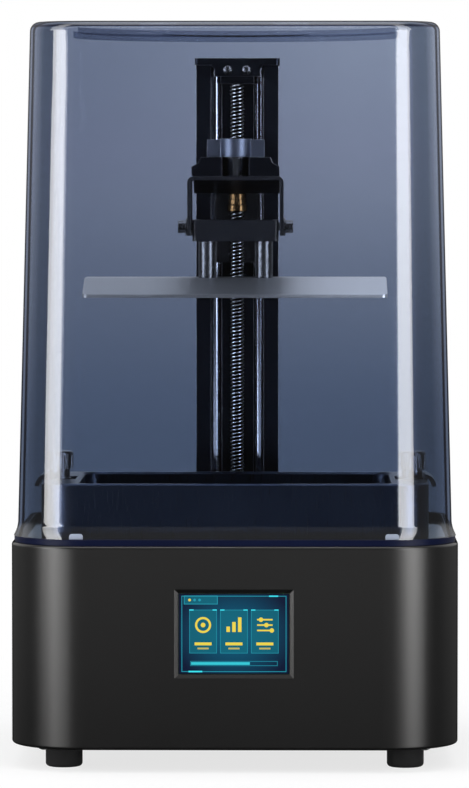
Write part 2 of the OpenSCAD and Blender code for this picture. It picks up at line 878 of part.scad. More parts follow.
module at_cap_screws() {
    for (sx = [-1, 1]) translate([sx * 5.1, column_y - flange_t, column_top - 2.9])
        rotate([90, 0, 0]) children();
}

// Plate on top of the column, with a short flange over the front of the rods
module column_cap() {
    color("#1c1f27") difference() {
        union() {
            translate([0, column_y - flange_t + (column_d + flange_t) / 2, column_top])
                round_plate(column_w + 1.4, column_d + flange_t, 2, cap_t);
            translate([0, column_y, column_top]) rotate([90, 0, 0]) linear_extrude(height = flange_t)
                polygon([
                    [-flange_w / 2, 0.5], [-flange_w / 2, -0.6], [-flange_w / 2 + 1.4, -2.2],
                    [-flange_w / 2 + 1.4, -flange_h], [flange_w / 2 - 1.4, -flange_h],
                    [flange_w / 2 - 1.4, -2.2], [flange_w / 2, -0.6], [flange_w / 2, 0.5]
                ]);
        }
        at_cap_screws() translate([0, 0, -10]) cylinder(d = 3.2, h = 20);
    }
}

module cap_screws() {
    color("#0f1013") at_cap_screws() button_screw(5.2, 1.9, 3, 8);
}

// Optical end stop on the lower rod holder
module limit_sensor() {
    slot_y = block_front + block_d + flag_t / 2;
    color("#17181b") translate([0, slot_y, deck_z + holder_h]) difference() {
        translate([-6, -4.2, 0]) cube([12, 8.4, 7.4]);
        translate([-7, -1.3, 2.4]) cube([14, 2.6, 6]);
    }
}

module lead_screw() {
    length = column_top - screw_short - screw_foot;
    tip_r = 2.5;
    color("#c9ccd0") at_screw(screw_foot) rotate_extrude() difference() {
        square([screw_d / 2, length]);
        translate([screw_d / 2, length]) round_off(tip_r);
    }
}

// ---- carriage ----

arm_half = tray_w / 2 + 0.5;
arm_top_half = 18.4;
nut_d = 10;
nut_bore_h = 12;
root_z = fork_z + fork_t - root_h;
flag_t = 1.2;

module slide_block() {
    color("#23282c") difference() {
        translate([-11.5, block_front, block_z]) cube([23, block_d, block_h]);
        at_rods() translate([0, 0, block_z - 1]) cylinder(d = rod_d + 2 * run_gap, h = block_h + 2);
        at_screw(block_z - 1) cylinder(d = nut_d + 2.4, h = block_h + 2);
    }
}

// Cast arm: a root round the lead screw and a fork that holds the platform's collar
module fork_arm() {
    slot_w = collar_d + 0.6;
    top = fork_z + fork_t;
    color("#16181d") difference() {
        union() {
            intersection() {
                translate([-arm_half - 1, 0, 0]) rotate([90, 0, 90]) linear_extrude(height = 2 * arm_half + 2)
                    polygon([
                        [arm_front, fork_z], [arm_front, top], [arm_back, top],
                        [arm_back, root_z], [24, root_z], [-8, fork_z]
                    ]);
                translate([0, arm_back + 1, 0]) rotate([90, 0, 0])
                    linear_extrude(height = arm_back - arm_front + 2)
                    polygon([
                        [-arm_half, root_z - 1], [-arm_half, top - 5], [-arm_top_half - 1.1, top - 3],
                        [-arm_top_half, top], [arm_top_half, top], [arm_top_half + 1.1, top - 3],
                        [arm_half, top - 5], [arm_half, root_z - 1]
                    ]);
            }
            translate([-9, arm_back - 1, root_z]) cube([18, block_front - arm_back + 1, root_h]);
        }
        at_screw(root_z - 1) {
            cylinder(d = screw_d + 1, h = root_h + 2);
            cylinder(d = nut_d + 0.02, h = nut_bore_h + 1);
        }
        translate([0, vat_y, fork_z - 1]) cylinder(d = slot_w, h = fork_t + 2);
        translate([-slot_w / 2, arm_front - 1, fork_z - 1]) cube([slot_w, vat_y - arm_front + 1, fork_t + 2]);
        for (sx = [-1, 1]) translate([sx * 11.5, 6, top - 2.5]) round_plate(8, 22, 3, 4);
    }
}

module brass_nut() {
    color("#c9a24a") at_screw(root_z) rotate_extrude() translate([screw_d / 2 + run_gap, 0]) {
        wall = nut_d / 2 - screw_d / 2 - run_gap;
        square([wall, nut_bore_h]);
        translate([0, -9.7]) square([wall + 0.75, 3.3]);
        translate([0, -6]) square([wall + 0.1, 2.7]);
        translate([0, -2.6]) square([wall - 0.2, 2.4]);
        translate([0, -9.7]) square([wall - 0.5, 9.8]);
    }
}

module limit_flag() {
    color("#8d9094") translate([-3.5, block_front + block_d, block_z - 3]) cube([7, flag_t, 14]);
}

// ---- platform head ----

bracket_half = tray_w / 2 + bracket_gap;
bracket_d = tray_d + 2;
bend_r = 3.2;
side_screw_z = tray_z + 7.6;
side_screw_d = 4;
side_head_d = 6.6;
washer_t = 0.9;
level_travel = 2;
collar_bore = 8;

module clamp_collar() {
    color("#1b1e24") translate([0, vat_y, bracket_z]) difference() {
        cylinder(d = collar_d, h = knob_z - bracket_z - snug);
        translate([0, 0, -1]) cylinder(d = collar_bore + 2 * run_gap, h = 20);
    }
}

// Places of the four side screws; local z points away from the platform's middle
module at_side_screws() {
    for (sx = [-1, 1], sy = [-1, 1])
        translate([0, vat_y + sy * tray_d * 0.3, side_screw_z]) rotate([0, sx * 90, 0]) children();
}

// Inverted U of bent sheet with upright slots for levelling
module outer_bracket() {
    outside = bracket_half + sheet_t;
    low = tray_z + 3;
    color("#121419") difference() {
        translate([0, vat_y + bracket_d / 2, 0]) rotate([90, 0, 0])
            linear_extrude(height = bracket_d) difference() {
            translate([-outside, low]) square([2 * outside, bracket_z - low]);
            for (sx = [0, 1]) mirror([sx, 0]) translate([outside, bracket_z]) round_off(bend_r);
            translate([-bracket_half, low - 1])
                square([2 * bracket_half, bracket_z - bend_r + 1 - low]);
            inside_r = bend_r - sheet_t;
            translate([-bracket_half + inside_r, low])
                square([2 * (bracket_half - inside_r), bracket_z - sheet_t - low]);
            for (sx = [-1, 1]) translate([sx * (bracket_half - inside_r), bracket_z - bend_r])
                circle(r = inside_r);
        }
        at_side_screws() {
            slot = side_screw_d + 0.4;
            translate([0, 0, bracket_half - 1]) cylinder(d = slot, h = sheet_t + 2);
        }
        for (sx = [-1, 1], sy = [-1, 1])
            translate([sx * (bracket_half + sheet_t / 2), vat_y + sy * tray_d * 0.3, side_screw_z]) {
                slot = side_screw_d + 0.4;
                translate([0, 0, level_travel / 2]) cube([sheet_t + 2, slot, level_travel], center = true);
                translate([0, 0, level_travel]) rotate([0, 90, 0])
                    cylinder(d = slot, h = sheet_t + 2, center = true);
            }
    }
}

// Wing knob and its stud
module platform_knob() {
    wing_t = 6;
    color("#20242c") translate([0, vat_y, knob_z]) {
        cylinder(d = hub_d, h = knob_h);
        for (turn = [0, 180]) rotate(turn)
            translate([0, -wing_t / 2, 0]) cube([wing_span / 2, wing_t, knob_h - 0.4]);
        translate([0, 0, -8]) cylinder(d = collar_bore, h = 8.01);
    }
}

module build_plate() {
    slope_z = plate_z + plate_t;
    color("#b9bcc0") intersection() {
        translate([-plate_w / 2, vat_y, 0]) rotate([90, 0, 90]) linear_extrude(height = plate_w)
            polygon([
                [-plate_d / 2, plate_z], [plate_d / 2, plate_z], [plate_d / 2, plate_z + plate_lip],
                [ridge_d / 2, slope_z], [-ridge_d / 2, slope_z], [-plate_d / 2, plate_z + plate_lip]
            ]);
        translate([0, vat_y, plate_z - 1]) round_plate(plate_w, plate_d, 3, plate_t + 2);
    }
}

module at_posts() {
    for (sx = [-1, 1], sy = [-1, 1]) translate([sx * post_span / 2, vat_y + sy * 11, 0]) children();
}

module plate_posts() {
    color("#1a1d24") at_posts() translate([0, 0, plate_z + plate_t]) cylinder(d = post_d, h = post_h);
}

// Open-topped tray that the posts carry
module inner_tray() {
    color("#14161a") difference() {
        translate([0, vat_y, tray_z]) round_plate(tray_w, tray_d, 2, tray_h);
        translate([0, vat_y, tray_z + sheet_t])
            round_plate(tray_w - 2 * sheet_t - 2, tray_d - 2 * sheet_t, 1, tray_h);
        at_side_screws() translate([0, 0, tray_w / 2 - 8]) cylinder(d = side_screw_d + 0.02, h = 10);
        at_posts() translate([0, 0, tray_z - 1]) cylinder(d = 3.4, h = sheet_t + 2);
    }
}

module side_washers() {
    color("#3a3d42") at_side_screws() translate([0, 0, bracket_half + sheet_t + 0.05]) difference() {
        cylinder(d = side_head_d + 2.9, h = washer_t);
        translate([0, 0, -1]) cylinder(d = side_screw_d + 0.3, h = 4);
    }
}

module side_screws() {
    head_z = bracket_half + sheet_t + washer_t + 0.05;
    color("#24262b") at_side_screws() {
        difference() {
            translate([0, 0, head_z]) cylinder(d = side_head_d, h = 4.1);
            translate([0, 0, head_z + 2]) cylinder(d = 3.4, h = 4, $fn = 6);
        }
        translate([0, 0, tray_w / 2 - 5]) cylinder(d = side_screw_d, h = head_z - tray_w / 2 + 5.01);
    }
}

// ---- vat ----

thumb_x = vat_w / 2 - thumb_inset;
thumb_shank = 5;
thumb_neck = 10.9;
thumb_head_h = 9.4;
pocket_drop = 3.7;
pocket_d = 26;
pocket_wall = 2.5;
pocket_z = deck_z + vat_h - pocket_drop;
rim_bevel = 0.8;
relief_inset = 7.5;
relief_y = 26;
relief_w = 9;
relief_d = 30;
relief_h = 21;
clamp_h = 2.2;
clamp_side = 12;
clamp_front = 5;
film_z = deck_z + lcd_proud + snug;
pool_r = 8;
ear_r = 6.5;
ear_t = 2.2;
ear_l = 34;
ear_x = vat_w / 2 - 1.9;
ear_wall = 1.6;

// Resin vat with bevelled rims, pockets for the thumb screws and a curled lip at each side
module vat_body() {
    top = deck_z + vat_h;
    color("#0d1017") translate([0, vat_y, 0]) difference() {
        union() {
            ring_sweep(vat_w / 2 - vat_r, vat_d / 2 - vat_r)
                polygon([
                    [0, deck_z], [vat_r, deck_z], [vat_r, top - rim_bevel], [vat_r - rim_bevel, top], [0, top]
                ]);
            translate([0, 0, deck_z]) block(vat_w - 2 * vat_r, vat_d - 2 * vat_r, vat_h);
            for (side = [0, 1]) mirror([side, 0, 0]) vat_ear();
        }
        translate([0, 0, deck_z - 1]) round_plate(pool_w, pool_d, pool_r, vat_h + 2);
        ring_sweep(pool_w / 2 - pool_r, pool_d / 2 - pool_r)
            polygon([[0, top - 1.2], [pool_r, top - 1.2], [pool_r + 1.4, top + 0.2], [0, top + 0.2]]);
        translate([0, 0, deck_z - 1])
            round_plate(pool_w + clamp_side + 0.4, pool_d + clamp_front + 0.4, pool_r + 2, clamp_h + 1);
        for (side = [0, 1]) mirror([side, 0, 0]) {
            inner = pool_w / 2 + pocket_wall;
            outer = vat_w / 2 - ear_wall;
            translate([inner, -pocket_d / 2, pocket_z]) cube([outer - inner, pocket_d, pocket_drop + 1]);
            translate([thumb_x, 0, deck_z - 1]) cylinder(d = thumb_shank + 2 * run_gap, h = vat_h);
            for (sy = [-1, 1]) translate([vat_w / 2 - relief_inset, sy * relief_y, deck_z - 1])
                round_plate(relief_w, relief_d, 3, relief_h + 1);
        }
    }
}

// Curled finger lip on the side of the vat
module vat_ear() {
    ear_z = deck_z + vat_h - 3.6;
    translate([ear_x, ear_l / 2, ear_z]) rotate([90, 0, 0]) linear_extrude(height = ear_l) {
        intersection() {
            difference() {
                circle(r = ear_r);
                circle(r = ear_r - ear_t);
            }
            square(ear_r + 1);
        }
        translate([vat_w / 2 - ear_x - ear_wall, 0]) square([ear_wall, ear_r - ear_t + 0.6]);
    }
}

// Release film, clamped at its border and pressed down onto the screen
module vat_film() {
    border_w = pool_w + clamp_side;
    border_d = pool_d + clamp_front;
    top = deck_z + clamp_h;
    color("#aeb6c4") difference() {
        union() {
            translate([0, vat_y, top - film_t]) round_plate(border_w, border_d, pool_r + 2, film_t);
            translate([0, vat_y, film_z]) round_plate(pool_w, pool_d, pool_r, top - film_z);
        }
        translate([0, vat_y, film_z + film_t])
            round_plate(pool_w - 2 * film_t, pool_d - 2 * film_t, pool_r - film_t, clamp_h + 1);
    }
}

module film_frame() {
    color("#a7abb0") difference() {
        translate([0, vat_y, film_z])
            round_plate(pool_w + clamp_side, pool_d + clamp_front, pool_r + 2,
                        deck_z + clamp_h - film_t - film_z);
        translate([0, vat_y, film_z - 1]) round_plate(pool_w + 0.02, pool_d + 0.02, pool_r, clamp_h + 2);
    }
}

// Fluted thumb screw that clamps the vat to the deck
module thumb_screw(side) {
    flutes = 12;
    foot_z = pocket_z + seat;
    head_z = pocket_z + 8.7;
    color("#14161b") translate([side * thumb_x, vat_y, 0]) {
        difference() {
            translate([0, 0, head_z]) rotate_extrude() difference() {
                square([thumb_d / 2, thumb_head_h]);
                translate([thumb_d / 2, thumb_head_h]) round_off(1.6);
            }
            for (i = [0:flutes - 1]) rotate(i * 360 / flutes)
                translate([thumb_d / 2 + 0.9, 0, head_z - 1]) cylinder(d = 3, h = thumb_head_h - 1);
        }
        translate([0, 0, foot_z]) cylinder(d = thumb_neck, h = head_z - foot_z + 0.01);
        translate([0, 0, foot_z + 2.4]) cylinder(d = thumb_neck + 1.2, h = 1.2);
        translate([0, 0, deck_z - deck_t + 0.5]) cylinder(d = thumb_shank, h = head_z - deck_z + deck_t);
    }
}

module vat_thumb_left() {
    thumb_screw(-1);
}

module vat_thumb_right() {
    thumb_screw(1);
}

// ---- cover ----

// Section of the cover's wall: an arc for the flare, the leaning side, the rounded edge, the top
module cover_profile() {
    flare_r = (flare_h * flare_h + cover_flare * cover_flare) / (2 * cover_flare);
    knee_z = cover_z + flare_h;
    edge_x = top_r - cover_edge_r;
    edge_z = top_z - cover_edge_r;
    intersection() {
        translate([side_r + flare_r, knee_z]) difference() {
            circle(r = flare_r + cover_wall);
            circle(r = flare_r);
        }
        translate([side_r - cover_wall - 0.5, cover_z]) square([cover_flare + cover_wall + 1, flare_h]);
    }
    polygon([[side_r, knee_z], [side_r - cover_wall, knee_z], [top_r - cover_wall, edge_z], [top_r, edge_z]]);
    translate([edge_x, edge_z]) intersection() {
        difference() {
            circle(r = cover_edge_r);
            circle(r = cover_edge_r - cover_wall);
        }
        square(cover_edge_r + 1);
    }
    translate([0, top_z - cover_wall]) square([edge_x, cover_wall]);
}

// Rounded locating tab inside the cover's foot
module cover_tab(x) {
    tab_w = 7.1;
    tab_h = 2.8;
    tab_t = 2.9;
    outer = core_y + foot_r - cover_wall - 0.1;
    intersection() {
        translate([x, outer, cover_z]) rotate([90, 0, 0]) round_plate(tab_w, 2 * tab_h, 1.6, tab_t);
        translate([x - tab_w, outer - tab_t, cover_z]) cube([2 * tab_w, tab_t, tab_h]);
    }
}

// Tinted cover with a flared foot and a dished top
module cover() {
    dish_floor = top_z - dish_depth;
    color([0.3, 0.36, 0.48, 0.5]) difference() {
        union() {
            ring_sweep() cover_profile();
            translate([0, 0, top_z - cover_wall]) block(2 * core_x, 2 * core_y, cover_wall);
            translate([0, 0, dish_floor - cover_wall])
                cylinder(d = dish_d + 2 * cover_wall, h = dish_depth + cover_wall - 0.5);
            for (turn = [0, 1], sx = [-1, 1]) mirror([0, turn, 0]) cover_tab(sx * (core_x + 4.75));
        }
        translate([0, 0, dish_floor]) cylinder(d = dish_d, h = 20);
        translate([0, 0, dish_floor - 0.8]) cylinder(d = dish_ring_d, h = 20);
    }
}

module cover_seal() {
    color("#0b0c0f") ring_sweep() translate([foot_r - cover_wall - 0.7, deck_z])
        square([cover_wall + 0.4, seal_h]);
}

base_shell();
bottom_plate();
rubber_feet();
foot_screws();
deck_plate();
touch_glass();
display_module();
mask_lcd();
light_hood();
fresnel_lens();
uv_led_board();
heat_sink();
fan_frame();
fan_rotor();
main_board();
board_standoffs();
dc_inlet();
usb_port();
switch_housing();
power_rocker();
z_motor();
motor_mount();
motor_shaft();
shaft_coupling();
screw_bearing();
column();
column_foot();
guide_rods();
rod_holders();
column_cap();
cap_screws();
limit_sensor();
lead_screw();
slide_block();
fork_arm();
brass_nut();
limit_flag();
clamp_collar();
outer_bracket();
platform_knob();
build_plate();
plate_posts();
inner_tray();
side_washers();
side_screws();
vat_body();
vat_film();
film_frame();
vat_thumb_left();
vat_thumb_right();
cover();
cover_seal();
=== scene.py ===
import json
import math

import bpy
from mathutils import Euler, Matrix, Vector


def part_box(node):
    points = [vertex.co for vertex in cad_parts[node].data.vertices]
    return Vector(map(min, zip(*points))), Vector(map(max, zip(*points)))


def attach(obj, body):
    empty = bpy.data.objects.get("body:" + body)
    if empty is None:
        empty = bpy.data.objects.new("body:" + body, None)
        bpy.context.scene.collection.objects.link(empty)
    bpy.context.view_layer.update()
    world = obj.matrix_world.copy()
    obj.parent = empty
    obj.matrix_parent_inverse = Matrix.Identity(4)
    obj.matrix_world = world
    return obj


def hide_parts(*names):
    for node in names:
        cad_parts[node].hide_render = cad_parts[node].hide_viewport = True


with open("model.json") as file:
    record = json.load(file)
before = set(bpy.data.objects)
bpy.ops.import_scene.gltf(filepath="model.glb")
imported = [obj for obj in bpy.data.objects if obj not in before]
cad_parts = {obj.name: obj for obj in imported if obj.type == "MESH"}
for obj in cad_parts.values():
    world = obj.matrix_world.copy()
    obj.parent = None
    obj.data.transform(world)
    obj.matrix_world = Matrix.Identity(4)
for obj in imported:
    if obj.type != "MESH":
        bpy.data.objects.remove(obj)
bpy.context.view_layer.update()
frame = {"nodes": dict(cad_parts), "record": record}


def middle(node):
    """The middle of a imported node's box."""
    low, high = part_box(node)
    return (low + high) / 2


BASE_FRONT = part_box("base_shell")[0].y
EYE = Vector((0.030, BASE_FRONT - 2.5, 0.3127))
AIM = Vector((0.0003, BASE_FRONT, 0.1971))
LENS = 221.3
SCREEN_Z = middle("touch_glass").z
SCREW_Y = middle("lead_screw").y
RIBS_Y = middle("fresnel_lens").y
COVER_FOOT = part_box("cover")[0].z
COVER_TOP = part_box("cover")[1].z
WHITE = (1.0, 1.0, 1.0, 1.0)


def srgb(r, g, b):
    """An 8-bit display colour as linear light."""
    def lin(c):
        c /= 255.0
        return c / 12.92 if c <= 0.04045 else ((c + 0.055) / 1.055) ** 2.4
    return (lin(r), lin(g), lin(b), 1.0)


# ---- node helpers ----

class Graph:
    """A node tree with short calls to add and link nodes."""

    def __init__(self, tree):
        self.tree = tree

    def add(self, kind, **settings):
        node = self.tree.nodes.new(kind)
        for key, value in settings.items():
            setattr(node, key, value)
        return node

    def put(self, socket, value):
        """Links a socket to another one or sets its value; None leaves it as it is."""
        if value is None:
            return
        if isinstance(value, bpy.types.NodeSocket):
            self.tree.links.new(value, socket)
        else:
            socket.default_value = value

    def math(self, operation, *values):
        node = self.add("ShaderNodeMath", operation=operation)
        for socket, value in zip(node.inputs, values):
            self.put(socket, value)
        return node.outputs[0]

    def product(self, first, *others):
        for other in others:
            first = self.math("MULTIPLY", first, other)
        return first

    def total(self, first, *others):
        for other in others:
            first = self.math("ADD", first, other)
        return first

    def place(self):
        """Where a point is on its own piece, in metres."""
        return self.add("ShaderNodeTexCoord").outputs["Object"]

    def parts(self, vector):
        """The x, y and z of a vector."""
        node = self.add("ShaderNodeSeparateXYZ")
        self.put(node.inputs[0], vector)
        return node.outputs

    def facing(self):
        """From 0 where a surface faces the eye to 1 where it is seen edge on."""
        return self.add("ShaderNodeLayerWeight").outputs["Facing"]

    def noise(self, vector, scale, detail=3.0, rough=0.5):
        node = self.add("ShaderNodeTexNoise")
        self.put(node.inputs["Vector"], vector)
        self.put(node.inputs["Scale"], scale)
        node.inputs["Detail"].default_value = detail
        node.inputs["Roughness"].default_value = rough
        return node.outputs["Fac"]

    def span(self, value, low, high, from_low=0.0, from_high=1.0):
        """A value taken from one range to another and held between its ends."""
        node = self.add("ShaderNodeMapRange")
        self.put(node.inputs["Value"], value)
        self.put(node.inputs["From Min"], from_low)
        self.put(node.inputs["From Max"], from_high)
        self.put(node.inputs["To Min"], low)
        self.put(node.inputs["To Max"], high)
        return node.outputs["Result"]

    def mix(self, factor, a, b):
        """Colour a where the factor is 0 and colour b where it is 1."""
        node = self.add("ShaderNodeMix", data_type="RGBA")
        self.put(node.inputs[0], factor)
        self.put(node.inputs[6], a)
        self.put(node.inputs[7], b)
        return node.outputs[2]

    def times(self, a, b):
        node = self.add("ShaderNodeMix", data_type="RGBA", blend_type="MULTIPLY")
        self.put(node.inputs[0], 1.0)
        self.put(node.inputs[6], a)
        self.put(node.inputs[7], b)
        return node.outputs[2]

    def ramp(self, value, stops):
        """A colour ramp over the stops' own range of values."""
        low, high = stops[0][0], stops[-1][0]
        node = self.add("ShaderNodeValToRGB")
        points = node.color_ramp.elements
        while len(points) < len(stops):
            points.new(0.5)
        for point, (at, colour) in zip(points, stops):
            point.position = (at - low) / (high - low)
            point.color = colour
        self.put(node.inputs[0], self.span(value, 0.0, 1.0, low, high))
        return node.outputs[0]

    def bump(self, height, strength, distance, normal=None):
        node = self.add("ShaderNodeBump")
        self.put(node.inputs["Normal"], normal)
        self.put(node.inputs["Height"], height)
        self.put(node.inputs["Strength"], strength)
        self.put(node.inputs["Distance"], distance)
        return node.outputs["Normal"]


def node_group(name, inputs, outputs):
    """A shader group with these sockets: its graph, its inlet and its outlet."""
    tree = bpy.data.node_groups.new(name, "ShaderNodeTree")
    for label, kind, value in inputs:
        socket = tree.interface.new_socket(label, in_out="INPUT", socket_type=kind)
        socket.default_value = value
    for label, kind in outputs:
        tree.interface.new_socket(label, in_out="OUTPUT", socket_type=kind)
    return Graph(tree), tree.nodes.new("NodeGroupInput"), tree.nodes.new("NodeGroupOutput")


FLOAT, VECTOR = "NodeSocketFloat", "NodeSocketVector"
WHOLE, SHAPE, FINISH = "NodeSocketInt", "NodeSocketGeometry", "NodeSocketMaterial"
GRAIN_HEIGHT, STREAK_HEIGHT = 0.0002, 0.0001
# How fine a metal's streaks are along x, y and z, in streaks per metre.
ROLLED, ROLLED_DEEP = (40.0, 2600.0, 2600.0), (2600.0, 40.0, 2600.0)
TURNED, DRAWN = (2600.0, 2600.0, 60.0), (2600.0, 2600.0, 90.0)


def make_grain_group():
    """Fine moulded grain, with a slow variation of tone over the whole piece."""
    g, a, b = node_group("moulded_grain",
                         [("Scale", FLOAT, 1800.0), ("Depth", FLOAT, 0.2), ("Edge", FLOAT, 0.0004)],
                         [("Tone", FLOAT), ("Grain", FLOAT), ("Normal", VECTOR)])
    grain = g.noise(g.place(), a.outputs["Scale"], 2.0, 0.6)
    slow = g.noise(g.place(), 11.0, 2.0)
    g.put(b.inputs["Tone"], g.span(slow, 0.0, 1.0, 0.3, 0.7))
    g.put(b.inputs["Grain"], grain)
    edge = g.add("ShaderNodeBevel", samples=6)
    g.put(edge.inputs["Radius"], a.outputs["Edge"])
    g.put(b.inputs["Normal"], g.bump(grain, a.outputs["Depth"], GRAIN_HEIGHT, edge.outputs[0]))
    return g.tree


def make_brush_group():
    """Streaks left by rolling, turning or brushing, and a mask of the edges.

    Stretch sets how fine the streaks are along each axis.
    """
    g, a, b = node_group("brushed_streaks",
                         [("Stretch", VECTOR, ROLLED), ("Depth", FLOAT, 0.1), ("Edge", FLOAT, 0.0004)],
                         [("Tone", FLOAT), ("Streak", FLOAT), ("Corner", FLOAT), ("Normal", VECTOR)])
    scaled = g.add("ShaderNodeVectorMath", operation="MULTIPLY")
    g.put(scaled.inputs[0], g.place())
    g.put(scaled.inputs[1], a.outputs["Stretch"])
    streak = g.noise(scaled.outputs[0], 1.0, 3.0, 0.6)
    slow = g.noise(g.place(), 17.0, 2.0)
    g.put(b.inputs["Tone"], g.span(slow, 0.0, 1.0, 0.3, 0.7))
    g.put(b.inputs["Streak"], streak)
    edge = g.add("ShaderNodeBevel", samples=6)
    g.put(edge.inputs["Radius"], a.outputs["Edge"])
    turn = g.add("ShaderNodeVectorMath", operation="DOT_PRODUCT")
    g.put(turn.inputs[0], edge.outputs[0])
    g.put(turn.inputs[1], g.add("ShaderNodeNewGeometry").outputs["True Normal"])
    g.put(b.inputs["Corner"], g.span(turn.outputs["Value"], 1.0, 0.0, 0.78, 0.97))
    g.put(b.inputs["Normal"], g.bump(streak, a.outputs["Depth"], STREAK_HEIGHT, edge.outputs[0]))
    return g.tree


def make_smudge_group():
    """Faint uneven gloss of a handled, polished surface."""
    g, a, b = node_group("polish", [("Low", FLOAT, 0.04), ("High", FLOAT, 0.1)],
                         [("Roughness", FLOAT), ("Tone", FLOAT)])
    cloud = g.noise(g.place(), 26.0, 4.0, 0.6)
    g.put(b.inputs["Roughness"], g.span(cloud, a.outputs["Low"], a.outputs["High"], 0.35, 0.7))
    g.put(b.inputs["Tone"], g.span(cloud, 0.0, 1.0, 0.35, 0.7))
    return g.tree


GRAIN = make_grain_group()
BRUSH = make_brush_group()
POLISH = make_smudge_group()


def blank(name):
    """A new material with a Principled shader: the material, its graph, that shader and the output."""
    mat = bpy.data.materials.new(name)
    mat.use_nodes = True
    mat.node_tree.nodes.clear()
    g = Graph(mat.node_tree)
    out = g.add("ShaderNodeOutputMaterial")
    bsdf = g.add("ShaderNodeBsdfPrincipled")
    g.put(out.inputs["Surface"], bsdf.outputs[0])
    return mat, g, bsdf, out


def use_group(g, tree, **values):
    """A group put to use in a tree, with its inputs set."""
    node = g.add("ShaderNodeGroup", node_tree=tree)
    for key, value in values.items():
        node.inputs[key].default_value = value
    return node


# ---- materials ----

def plastic(name, dark, light, rough=(0.45, 0.6), scale=1800.0, depth=0.2, specular=0.5, coat=0.0,
            satin=False):
    """Moulded plastic, paint or rubber with grain; where asked, its gloss is lower towards the foot, a
    painted shade, and lower at a glancing view.
    """
    mat, g, bsdf, _ = blank(name)
    grain = use_group(g, GRAIN, Scale=scale, Depth=depth)
    g.put(bsdf.inputs["Base Color"], g.mix(grain.outputs["Tone"], srgb(*dark), srgb(*light)))
    g.put(bsdf.inputs["Roughness"], g.span(grain.outputs["Grain"], rough[0], rough[1], 0.3, 0.7))
    g.put(bsdf.inputs["Normal"], grain.outputs["Normal"])
    bsdf.inputs["Specular IOR Level"].default_value = specular
    if satin:
        # Painted shade: the gloss is lower towards the foot.
        gloss = g.span(g.parts(g.place())[2], 0.55 * specular, specular, 0.015, 0.115)
        turned = g.span(g.facing(), 1.0, 0.0, 0.45, 0.85)
        g.put(bsdf.inputs["Specular IOR Level"], g.product(gloss, turned))
    bsdf.inputs["Coat Weight"].default_value = coat
    bsdf.inputs["Coat Roughness"].default_value = 0.2
    return mat


def polished(name, dark, light, rough=(0.04, 0.1), specular=0.5, coat=0.0):
    """Smooth glossy plastic or glass over something dark, with its gloss held down at a glancing view."""
    mat, g, bsdf, _ = blank(name)
    polish = use_group(g, POLISH, Low=rough[0], High=rough[1])
    g.put(bsdf.inputs["Base Color"], g.mix(polish.outputs["Tone"], srgb(*dark), srgb(*light)))
    g.put(bsdf.inputs["Roughness"], polish.outputs["Roughness"])
    g.put(bsdf.inputs["Specular IOR Level"], g.span(g.facing(), specular, 0.2 * specular, 0.45, 0.85))
    bsdf.inputs["Coat Weight"].default_value = coat
    bsdf.inputs["Coat Roughness"].default_value = 0.03
    return mat


def metal(name, dark, light, rough=(0.2, 0.35), stretch=ROLLED, depth=0.1, metallic=1.0,
          worn=None, sheen=None):
    """Metal with the streaks of its making; its edges may carry a painted highlight, and its face a painted
    reflection that changes across it.
    """
    mat, g, bsdf, _ = blank(name)
    brush = use_group(g, BRUSH, Stretch=stretch, Depth=depth)
    colour = g.mix(brush.outputs["Tone"], srgb(*dark), srgb(*light))
    # Painted highlight: the edges are given a brighter colour.
    if worn:
        colour = g.mix(brush.outputs["Corner"], colour, srgb(*worn))
    # Painted reflection: the colour is brightened and darkened across the piece.
    if sheen:
        painted_brightness = g.ramp(g.parts(g.place())[0], [(x, (v, v, v, 1.0)) for x, v in sheen])
        colour = g.times(colour, painted_brightness)
    g.put(bsdf.inputs["Base Color"], colour)
    g.put(bsdf.inputs["Roughness"], g.span(brush.outputs["Streak"], rough[0], rough[1], 0.3, 0.7))
    g.put(bsdf.inputs["Normal"], brush.outputs["Normal"])
    bsdf.inputs["Metallic"].default_value = metallic
    return mat


def thread_steel(name):
    """Rolled thread: bright on the crests and near black at the roots, a painted shade in its hollows."""
    mat, g, bsdf, _ = blank(name)
    brush = use_group(g, BRUSH, Stretch=DRAWN, Depth=0.04, Edge=0.0001)
    flat = g.add("ShaderNodeVectorMath", operation="MULTIPLY_ADD")
    g.put(flat.inputs[0], g.place())
    flat.inputs[1].default_value = (1.0, 1.0, 0.0)
    flat.inputs[2].default_value = (0.0, -SCREW_Y, 0.0)
    out = g.add("ShaderNodeVectorMath", operation="LENGTH")
    g.put(out.inputs[0], flat.outputs[0])
    root_r, crest_r = 0.0031, 0.0039
    crest = g.span(out.outputs["Value"], 0.0, 1.0, root_r, crest_r)
    steel = g.mix(brush.outputs["Tone"], srgb(196, 199, 204), srgb(216, 219, 223))
    # Painted shade: the thread's roots are painted near black.
    g.put(bsdf.inputs["Base Color"], g.mix(crest, srgb(14, 16, 20), steel))
    g.put(bsdf.inputs["Roughness"], g.span(crest, 0.5, 0.16))
    g.put(bsdf.inputs["Normal"], brush.outputs["Normal"])
    bsdf.inputs["Metallic"].default_value = 1.0
    return mat


# The colour that one skin of the cover lets through, by height in metres: its tint, painted lighter higher up
# as painted light.
COVER_TINT_AND_PAINTED_LIGHT = (
    (0.165, (0.494, 0.543, 0.625, 1.0)), (0.194, (0.515, 0.562, 0.643, 1.0)),
    (0.245, (0.580, 0.618, 0.690, 1.0)), (0.297, (0.642, 0.675, 0.744, 1.0)),
    (0.323, (0.662, 0.692, 0.763, 1.0)), (0.390, (0.692, 0.726, 0.792, 1.0)),
)
